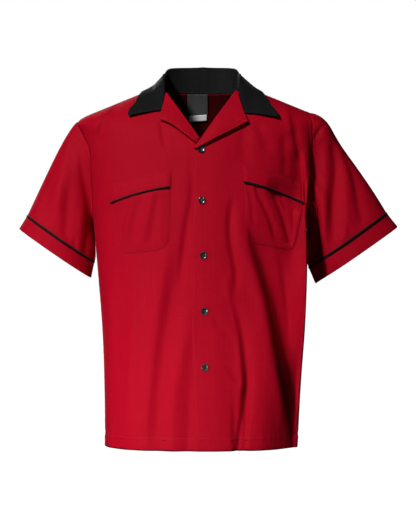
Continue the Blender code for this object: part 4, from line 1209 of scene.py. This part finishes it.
# %% Piping and stitches
def tube(name, line, radius, finish, nodes, closed=False, sides=12):
    """Round piping along a line of points, closed in a ring or tapered into its two ends."""
    line = np.asarray(line)
    count = len(line) - 1
    ahead = np.roll(line, -1, 0) - np.roll(line, 1, 0) if closed else np.gradient(line, axis=0)
    if closed:
        line, ahead = np.vstack([line, line[:1]]), np.vstack([ahead, ahead[:1]])
        count += 1
    ahead = unit(ahead)
    first = unit(np.cross(ahead, np.array((0.0, -1.0, 0.0))))
    second = np.cross(ahead, first)

    def place(around, along):
        k = np.rint(along * count).astype(int)
        end = np.zeros(len(k)) if closed else np.minimum(k, count - k)
        fat = np.ones(len(k)) if closed else np.sqrt(np.clip(end / 2.0, 0, 1))
        turn = (2 * math.pi * around)[:, None]
        rim = first[k] * np.cos(turn) + second[k] * np.sin(turn)
        return line[k] + rim * (radius * fat)[:, None]

    length = float(np.linalg.norm(np.diff(line, axis=0), axis=1).sum())
    grid = laid_grid((sides, count), place, (2 * math.pi * radius, length))
    bmesh.ops.remove_doubles(grid, verts=grid.verts, dist=1e-6)
    bmesh.ops.recalc_face_normals(grid, faces=grid.faces)
    print(name, "length", round(length, 3), "m")
    return finished(name, grid, finish, nodes)


STITCH = 0.0030  # one stitch
STITCH_GAP = 0.0009


def sew(name, rows, finish, radius=0.00024):
    """Rows of stitches. Each row is its points and the directions that they stand out in."""
    thread = bmesh.new()
    total = 0
    for points, normals in rows:
        steps = np.linalg.norm(np.diff(points, axis=0), axis=1)
        run = np.concatenate([[0], np.cumsum(steps)])
        starts = np.arange(0.001, run[-1] - STITCH, STITCH + STITCH_GAP)
        ends = [np.stack([np.interp(at, run, points[:, k]) for k in range(3)], 1)
                for at in (starts, starts + STITCH)]
        out = np.stack([np.interp(starts, run, normals[:, k]) for k in range(3)], 1)
        for low, high, normal in zip(*ends, out):
            along, normal = Vector(high - low), Vector(normal)
            half = along.length / 2
            along.normalize()
            side = normal.cross(along).normalized()
            turn = Matrix((along * half, side * radius, along.cross(side) * radius)).transposed().to_4x4()
            turn.translation = Vector((low + high) / 2)
            bmesh.ops.create_uvsphere(thread, u_segments=6, v_segments=4, radius=1, matrix=turn)
        total += len(starts)
    bmesh.ops.recalc_face_normals(thread, faces=thread.faces)
    print(name, total, "stitches")
    return finished(name, thread, finish)


# %% Body
BODY_CELLS = {"front": (84, 236), "back": (150, 190)}
# The inner faces of the body panels get the painted-shade red.
for side, name in ((1, "plus"), (-1, "minus")):
    piece = cloth(f"body_front_{name}", BODY_CELLS["front"], panel_place(side, "front"), RED_POPLIN,
                  (0.255, 0.790), [f"front_{name}"], inside=RED_PAINTED_SHADE)
back = cloth("body_back", BODY_CELLS["back"], panel_place(1, "back"), RED_POPLIN, (0.50, 0.79), ["back"],
             inside=RED_PAINTED_SHADE)

# %% Sleeves, cuffs and their piping
CUFF_CORD_FAT = 1.45
RING_STEPS = 150
for name, sleeve in SLEEVES.items():
    piece = cloth(f"short_sleeve_{name}", (RING_STEPS, 84), sleeve_place(name), RED_POPLIN, (0.46, 0.20),
                  [f"sleeve_{name}"], closed=True)
    piece = cloth(f"turned_cuff_{name}", (RING_STEPS, 40), cuff_place(name), RED_POPLIN, (0.40, 0.070),
                  [f"cuff_{name}"], closed=True)
    turns = np.arange(RING_STEPS) / RING_STEPS
    ring = width_ring(sleeve, sleeve[1:5], turns, CUFF_RISE + PIPING_RADIUS * 0.75
                      + puckers(turns * 0.4, 0 * turns, 0.0003, 1, 0.021), tuck=0.0034)
    tube(f"cuff_cord_{name}", ring, PIPING_RADIUS * CUFF_CORD_FAT, BLACK_POPLIN, [f"cuff_piping_{name}"],
         closed=True)

# %% Collar and lapels
collar = cloth("camp_collar", (170, 66), collar_place, BLACK_POPLIN, (0.47, 0.125), ["collar"],
               wall=0.0015, offset=0.0)
# The lapels' undersides get the painted-shade red too, which darkens the shadow beneath them.
for name, lapel in LAPELS.items():
    piece = cloth(f"rolled_lapel_{name}", (48, 60), lapel_place(name), RED_POPLIN, (0.065, 0.12),
                  [f"lapel_{name}"], wall=0.0013, offset=0.0, inside=RED_PAINTED_SHADE)

# %% Pockets
POCKET_CORD_FAT = {"plus": 1.4, "minus": 1.15}  # the drawn cord against the plain piping
for name, pocket in POCKETS.items():
    piece = cloth(f"patch_pocket_{name}", (64, 60), bag_place(name), RED_POPLIN, (0.125, 0.135),
                  [f"pocket_{name}"])
    piece = cloth(f"pocket_band_{name}", (64, 22), flap_place(name), RED_POPLIN, (0.125, 0.038),
                  [f"pocket_flap_{name}"])
    across = np.linspace(0, 1, 61)
    low_x, low_z = flap_low(pocket, across)
    line = front_skin(low_x, low_z - 0.0006, pocket.side, 0.0052)
    tube(f"pocket_cord_{name}", line, PIPING_RADIUS * POCKET_CORD_FAT[name], BLACK_POPLIN,
         [f"pocket_piping_{name}"])

# %% [markdown]
# ## Labels
# Under the collar at the back hangs a black woven label, with a small white size tab below it.
# Both are bare here, with no name or number.


# %% Label and size tab
def label_place(middle, half, top, bottom, inside, tilt=0.0):
    def place(across, up):
        x = lerp(middle - half, middle + half, across)
        z = lerp(bottom, top, up) + tilt * (x - middle)
        side = np.where(x >= 0, 1, -1)
        curl = 0.0012 * np.sin(math.pi * across) * (1 - up)
        return skin(math.pi - angle_at(np.abs(x), z, side), z, side, -inside - curl)

    return place


piece = cloth("woven_label", (30, 28), label_place(-0.012, 0.022, -0.0085, -0.0505, 0.0030), LABEL_WEAVE,
              (0.044, 0.042), ["neck_label"], wall=0.0007)
piece = cloth("size_tape", (20, 8), label_place(-0.011, 0.019, -0.0512, -0.0640, 0.0042, 0.055), WHITE_TAPE,
              (0.038, 0.013), ["size_tab"], wall=0.0006)

# %% [markdown]
# ## Buttons
# A shirt button is a turned disc with a raised rim, a dished face and four holes. Its profile is
# spun round its axis and the holes are drilled with a Boolean, then two bars of thread cross the
# holes. All five share one shape, and each copy is laid on the cloth at its own place.

# %% Button shape
BUTTON_RADIUS, BUTTON_THICK, BUTTON_CLEAR = 0.0076, 0.0027, 0.0004
HOLE_RADIUS, HOLE_OUT = 0.00072, 0.0019


def button_shape():
    radius, thick = BUTTON_RADIUS, BUTTON_THICK
    profile = [
        (0.0, 0.0), (radius * 0.55, 0.0), (radius * 0.86, 0.0005), (radius * 0.97, thick * 0.34),
        (radius, thick * 0.55), (radius * 0.985, thick * 0.78), (radius * 0.93, thick * 0.95),
        (radius * 0.86, thick), (radius * 0.80, thick * 0.97), (radius * 0.72, thick * 0.86),
        (radius * 0.62, thick * 0.75), (radius * 0.50, thick * 0.66), (radius * 0.38, thick * 0.62),
        (0.0, thick * 0.60),
    ]
    turned = bmesh.new()
    spots = [turned.verts.new((x, 0, z)) for x, z in profile]
    edges = [turned.edges.new(pair) for pair in zip(spots, spots[1:])]
    bmesh.ops.spin(turned, geom=spots + edges, axis=(0, 0, 1), cent=(0, 0, 0), angle=2 * math.pi,
                   steps=56, use_merge=True, use_duplicate=False)
    bmesh.ops.remove_doubles(turned, verts=turned.verts, dist=1e-6)
    bmesh.ops.recalc_face_normals(turned, faces=turned.faces)
    drills = bmesh.new()
    for quarter in range(4):
        angle = math.pi / 4 + quarter * math.pi / 2
        spot = Vector((math.cos(angle), math.sin(angle), 0)) * HOLE_OUT
        made = bmesh.ops.create_cone(drills, cap_ends=True, segments=16, radius1=HOLE_RADIUS,
                                     radius2=HOLE_RADIUS, depth=0.01)
        bmesh.ops.translate(drills, vec=spot, verts=made["verts"])
    pair = []
    for label, shape in (("blank", turned), ("drills", drills)):
        mesh = bpy.data.meshes.new(label)
        shape.to_mesh(mesh)
        shape.free()
        pair.append(bpy.data.objects.new(label, mesh))
        bpy.context.scene.collection.objects.link(pair[-1])
    cut = pair[0].modifiers.new("Holes", "BOOLEAN")
    cut.operation, cut.object = "DIFFERENCE", pair[1]
    bpy.context.view_layer.update()
    mesh = bpy.data.meshes.new_from_object(pair[0].evaluated_get(bpy.context.evaluated_depsgraph_get()))
    for helper in pair:
        bpy.data.objects.remove(helper)
    return mesh


def on_cloth(z, spin=0.0):
    """The place of a button: on the buttoned front, facing out, turned by an angle."""
    angle = angle_at(button_x(z), z, 1)
    spot = Vector(skin(angle, z, 1, BUTTON_CLEAR).tolist())
    normal = Vector(form_normal(np.abs(angle), z, 1).tolist())
    turn = normal.to_track_quat("Z", "Y").to_matrix().to_4x4() @ Matrix.Rotation(spin, 4, "Z")
    return Matrix.Translation(spot) @ turn


BUTTON_SHAPE = button_shape()
print("button faces", len(BUTTON_SHAPE.polygons))

# %% Five buttons and their thread
THREAD_RADIUS = 0.00032
for number, (z, spin) in enumerate(zip(BUTTON_Z, (0.15, -0.3, 0.5, 0.1, -0.2)), 1):
    disc = bmesh.new()
    disc.from_mesh(BUTTON_SHAPE)
    bmesh.ops.transform(disc, matrix=on_cloth(z, spin), verts=disc.verts)
    piece = finished(f"shirt_button_{number}", disc, BUTTON_RESIN, [f"button_{number}"])
    piece.data.set_sharp_from_angle(angle=math.radians(35))
    bars = bmesh.new()
    reach = HOLE_OUT / math.sqrt(2)
    for row in (-reach, reach):
        for strand in (-1, 0, 1):
            made = bmesh.ops.create_uvsphere(bars, u_segments=8, v_segments=8, radius=1)
            bmesh.ops.scale(bars, vec=(reach + 0.0004, THREAD_RADIUS, THREAD_RADIUS), verts=made["verts"])
            bmesh.ops.translate(bars, vec=(0, row + strand * THREAD_RADIUS * 1.1,
                                           BUTTON_THICK * 0.64 + (strand == 0) * THREAD_RADIUS * 0.5),
                                verts=made["verts"])
    bmesh.ops.transform(bars, matrix=on_cloth(z, spin), verts=bars.verts)
    finished(f"button_thread_{number}", bars, BLACK_THREAD)

# %% [markdown]
# ## Sewing
# Rows of stitches follow the edges that are sewn: the hem, the front edge, the pocket and its
# band, the cuffs, the collar and the lapels. Each stitch is one small bead of thread on the
# cloth, laid with the same formulas, so a row follows every fold.


# %% Rows of stitches
def body_row(angle, z, side, out=0.0001):
    return skin(angle, z, side, out), form_normal(angle, z, side)


def front_row(x, z, side, out):
    x, z = np.broadcast_arrays(x, z)
    return front_skin(x, z, side, out), front_normal(x, z, side)


def surface_row(place, across, up, out):
    """A row on a placed surface, lifted out of it on the side that faces away from the body."""
    spots = place(across, up)
    step = 0.002
    normal = unit(np.cross(place(across + step, up) - place(across - step, up),
                           place(across, up + step) - place(across, up - step)))
    away = spots - np.array((0, 0, -0.2))
    normal = normal * np.sign(np.sum(normal * away, axis=-1, keepdims=True))
    return spots + normal * out, normal


HEM_POINTS, POCKET_POINTS = 260, 90  # points along one row
hem_z = HEM_Z + HEM_FOLD
rows = []
for side in (1, -1):
    start = float(angle_at(front_edge_x(hem_z, side), hem_z, side)) + 0.02
    for low, high in ((start, math.pi / 2 - 0.004), (math.pi / 2 + 0.004, math.pi)):
        rows.append(body_row(np.linspace(low, high, HEM_POINTS), np.full(HEM_POINTS, hem_z), side, 0.0002))
sew("hem_stitches", rows, RED_THREAD)

z = np.linspace(HEM_Z + 0.002, -0.150, 400)
sew("front_edge_stitches", [front_row(front_edge_x(z, 1) + 0.005, z, 1, 0.0001)], RED_THREAD)

for name, pocket in POCKETS.items():
    inset = 0.018
    path = [(inset, u) for u in np.linspace(0.94, 0.10, POCKET_POINTS)]
    path += [(a, 0.022) for a in np.linspace(inset, 1 - inset, POCKET_POINTS)]
    path += [(1 - inset, u) for u in np.linspace(0.10, 0.94, POCKET_POINTS)]
    across, up = np.array(path).T
    x, z = bag_spot(pocket, across, up)
    rows = [front_row(*line, pocket.side, 0.0012) for line in zip(np.split(x, 3), np.split(z, 3))]
    across = np.linspace(0.015, 0.985, POCKET_POINTS)
    low, top = flap_low(pocket, across), pocket_line(pocket, pocket.top_inner_z, pocket.top_outer_z, across)
    rows.append(front_row(top[0], top[1] - 0.002, pocket.side, 0.0018))
    rows.append(front_row(low[0], low[1] + 0.0042, pocket.side, 0.0038))
    sew(f"pocket_stitches_{name}", rows, RED_THREAD)

for name in SLEEVES:
    turns = np.linspace(0, 1, 300)
    place = cuff_place(name)
    spots = place(turns, np.full(300, 0.075))
    middle = spots.mean(0)
    sew(f"cuff_stitches_{name}", [(spots, unit(spots - middle))], RED_THREAD)

across = np.linspace(0.012, 0.988, 700)
rows = [surface_row(collar_place, across, np.full(700, 0.935), 0.0008)]
for end in (0.012, 0.988):
    rows.append(surface_row(collar_place, np.full(80, end), np.linspace(0.60, 0.935, 80), 0.0008))
sew("collar_stitches", rows, BLACK_THREAD)

for name, lapel in LAPELS.items():
    up = np.linspace(0.04, 0.96, 160)
    sew(f"lapel_stitches_{name}", [surface_row(lapel_place(name), np.full(160, 0.955), up, 0.0007)],
        RED_THREAD)

# %% [markdown]
# ## Studio
# The shirt hangs in a plain white room. The key light stands up and to the left, which leaves the
# right flank of each fold dark. A narrow low light lifts the hem on the left, a weak one fills from
# the front, and a broad one behind shows the back.

# %% Floor, room and lights
def stage_floor():
    floor = bmesh.new()
    bmesh.ops.create_grid(floor, x_segments=1, y_segments=1, size=60)
    bmesh.ops.translate(floor, vec=(0, 0, -1.70), verts=floor.verts)
    mesh = bpy.data.meshes.new("studio_floor")
    floor.to_mesh(mesh)
    floor.free()
    made = bpy.data.materials.new("studio_white")
    made.use_nodes = True
    tree = made.node_tree
    shader = tree.nodes["Principled BSDF"]
    shader.inputs["Base Color"].default_value = (0.10, 0.10, 0.10, 1)
    shader.inputs["Roughness"].default_value = 0.9
    glow = add(tree, "ShaderNodeEmission", values={"Color": (1, 1, 1, 1), "Strength": 1.25})
    ray = add(tree, "ShaderNodeLightPath")
    seen = maths(tree, "MULTIPLY", ray.outputs["Is Camera Ray"], 0.85)
    mix = add(tree, "ShaderNodeMixShader", {"Fac": seen, 1: shader.outputs[0], 2: glow.outputs[0]})
    tree.links.new(mix.outputs[0], tree.nodes["Material Output"].inputs["Surface"])
    mesh.materials.append(made)
    piece = bpy.data.objects.new("studio_floor", mesh)
    bpy.context.scene.collection.objects.link(piece)


def room(ambient):
    world = bpy.data.worlds.new("studio_room")
    bpy.context.scene.world = world
    world.use_nodes = True
    tree = world.node_tree
    back_light = tree.nodes["Background"]
    back_light.inputs["Color"].default_value = (1, 1, 1, 1)
    ray = add(tree, "ShaderNodeLightPath")
    level = maths(tree, "MULTIPLY_ADD", ray.outputs["Is Camera Ray"], 1.0 - ambient)
    level.node.inputs[2].default_value = ambient
    tree.links.new(level, back_light.inputs["Strength"])


def soft_light(name, spot, aim, size, power, spread=180):
    light = bpy.data.lights.new(name, "AREA")
    light.shape, light.size, light.energy = "DISK", size, power
    light.spread = math.radians(spread)
    piece = bpy.data.objects.new(name, light)
    piece.location = spot
    piece.rotation_euler = (Vector(aim) - Vector(spot)).to_track_quat("-Z", "Y").to_euler()
    bpy.context.scene.collection.objects.link(piece)


stage_floor()
room(0.008)
soft_light("key", (-1.60, -2.8, 1.8), (0, 0, -0.35), 0.5, 118)
soft_light("low", (-1.5, -2.7, -1.2), (-0.20, -0.1, -0.70), 0.3, 0.9, 22)
soft_light("fill", (0.1, -4.2, 0.2), (0, 0, -0.20), 0.7, 3)
soft_light("rear", (-1.5, 3.2, 1.4), (0, 0, -0.35), 2.4, 50)

# %% Camera
# Level with the middle of the shirt, 3.3 m away, and tall enough to take in 1.092 m there.
CAMERA_AT = (0.0105, -3.3, -0.365)
VIEW_HALF = 0.546
camera_data = bpy.data.cameras.new("camera")
camera_data.sensor_width = 36.0
camera_data.lens = 36.0 / 2 / (VIEW_HALF / -CAMERA_AT[1])
camera = bpy.data.objects.new("camera", camera_data)
camera.location = CAMERA_AT
camera.rotation_euler = (math.pi / 2, 0, 0)
bpy.context.scene.collection.objects.link(camera)
bpy.context.scene.camera = camera
bpy.context.scene.view_settings.view_transform = "Standard"
print("lens", round(camera_data.lens, 1), "mm")

bpy.context.view_layer.update()
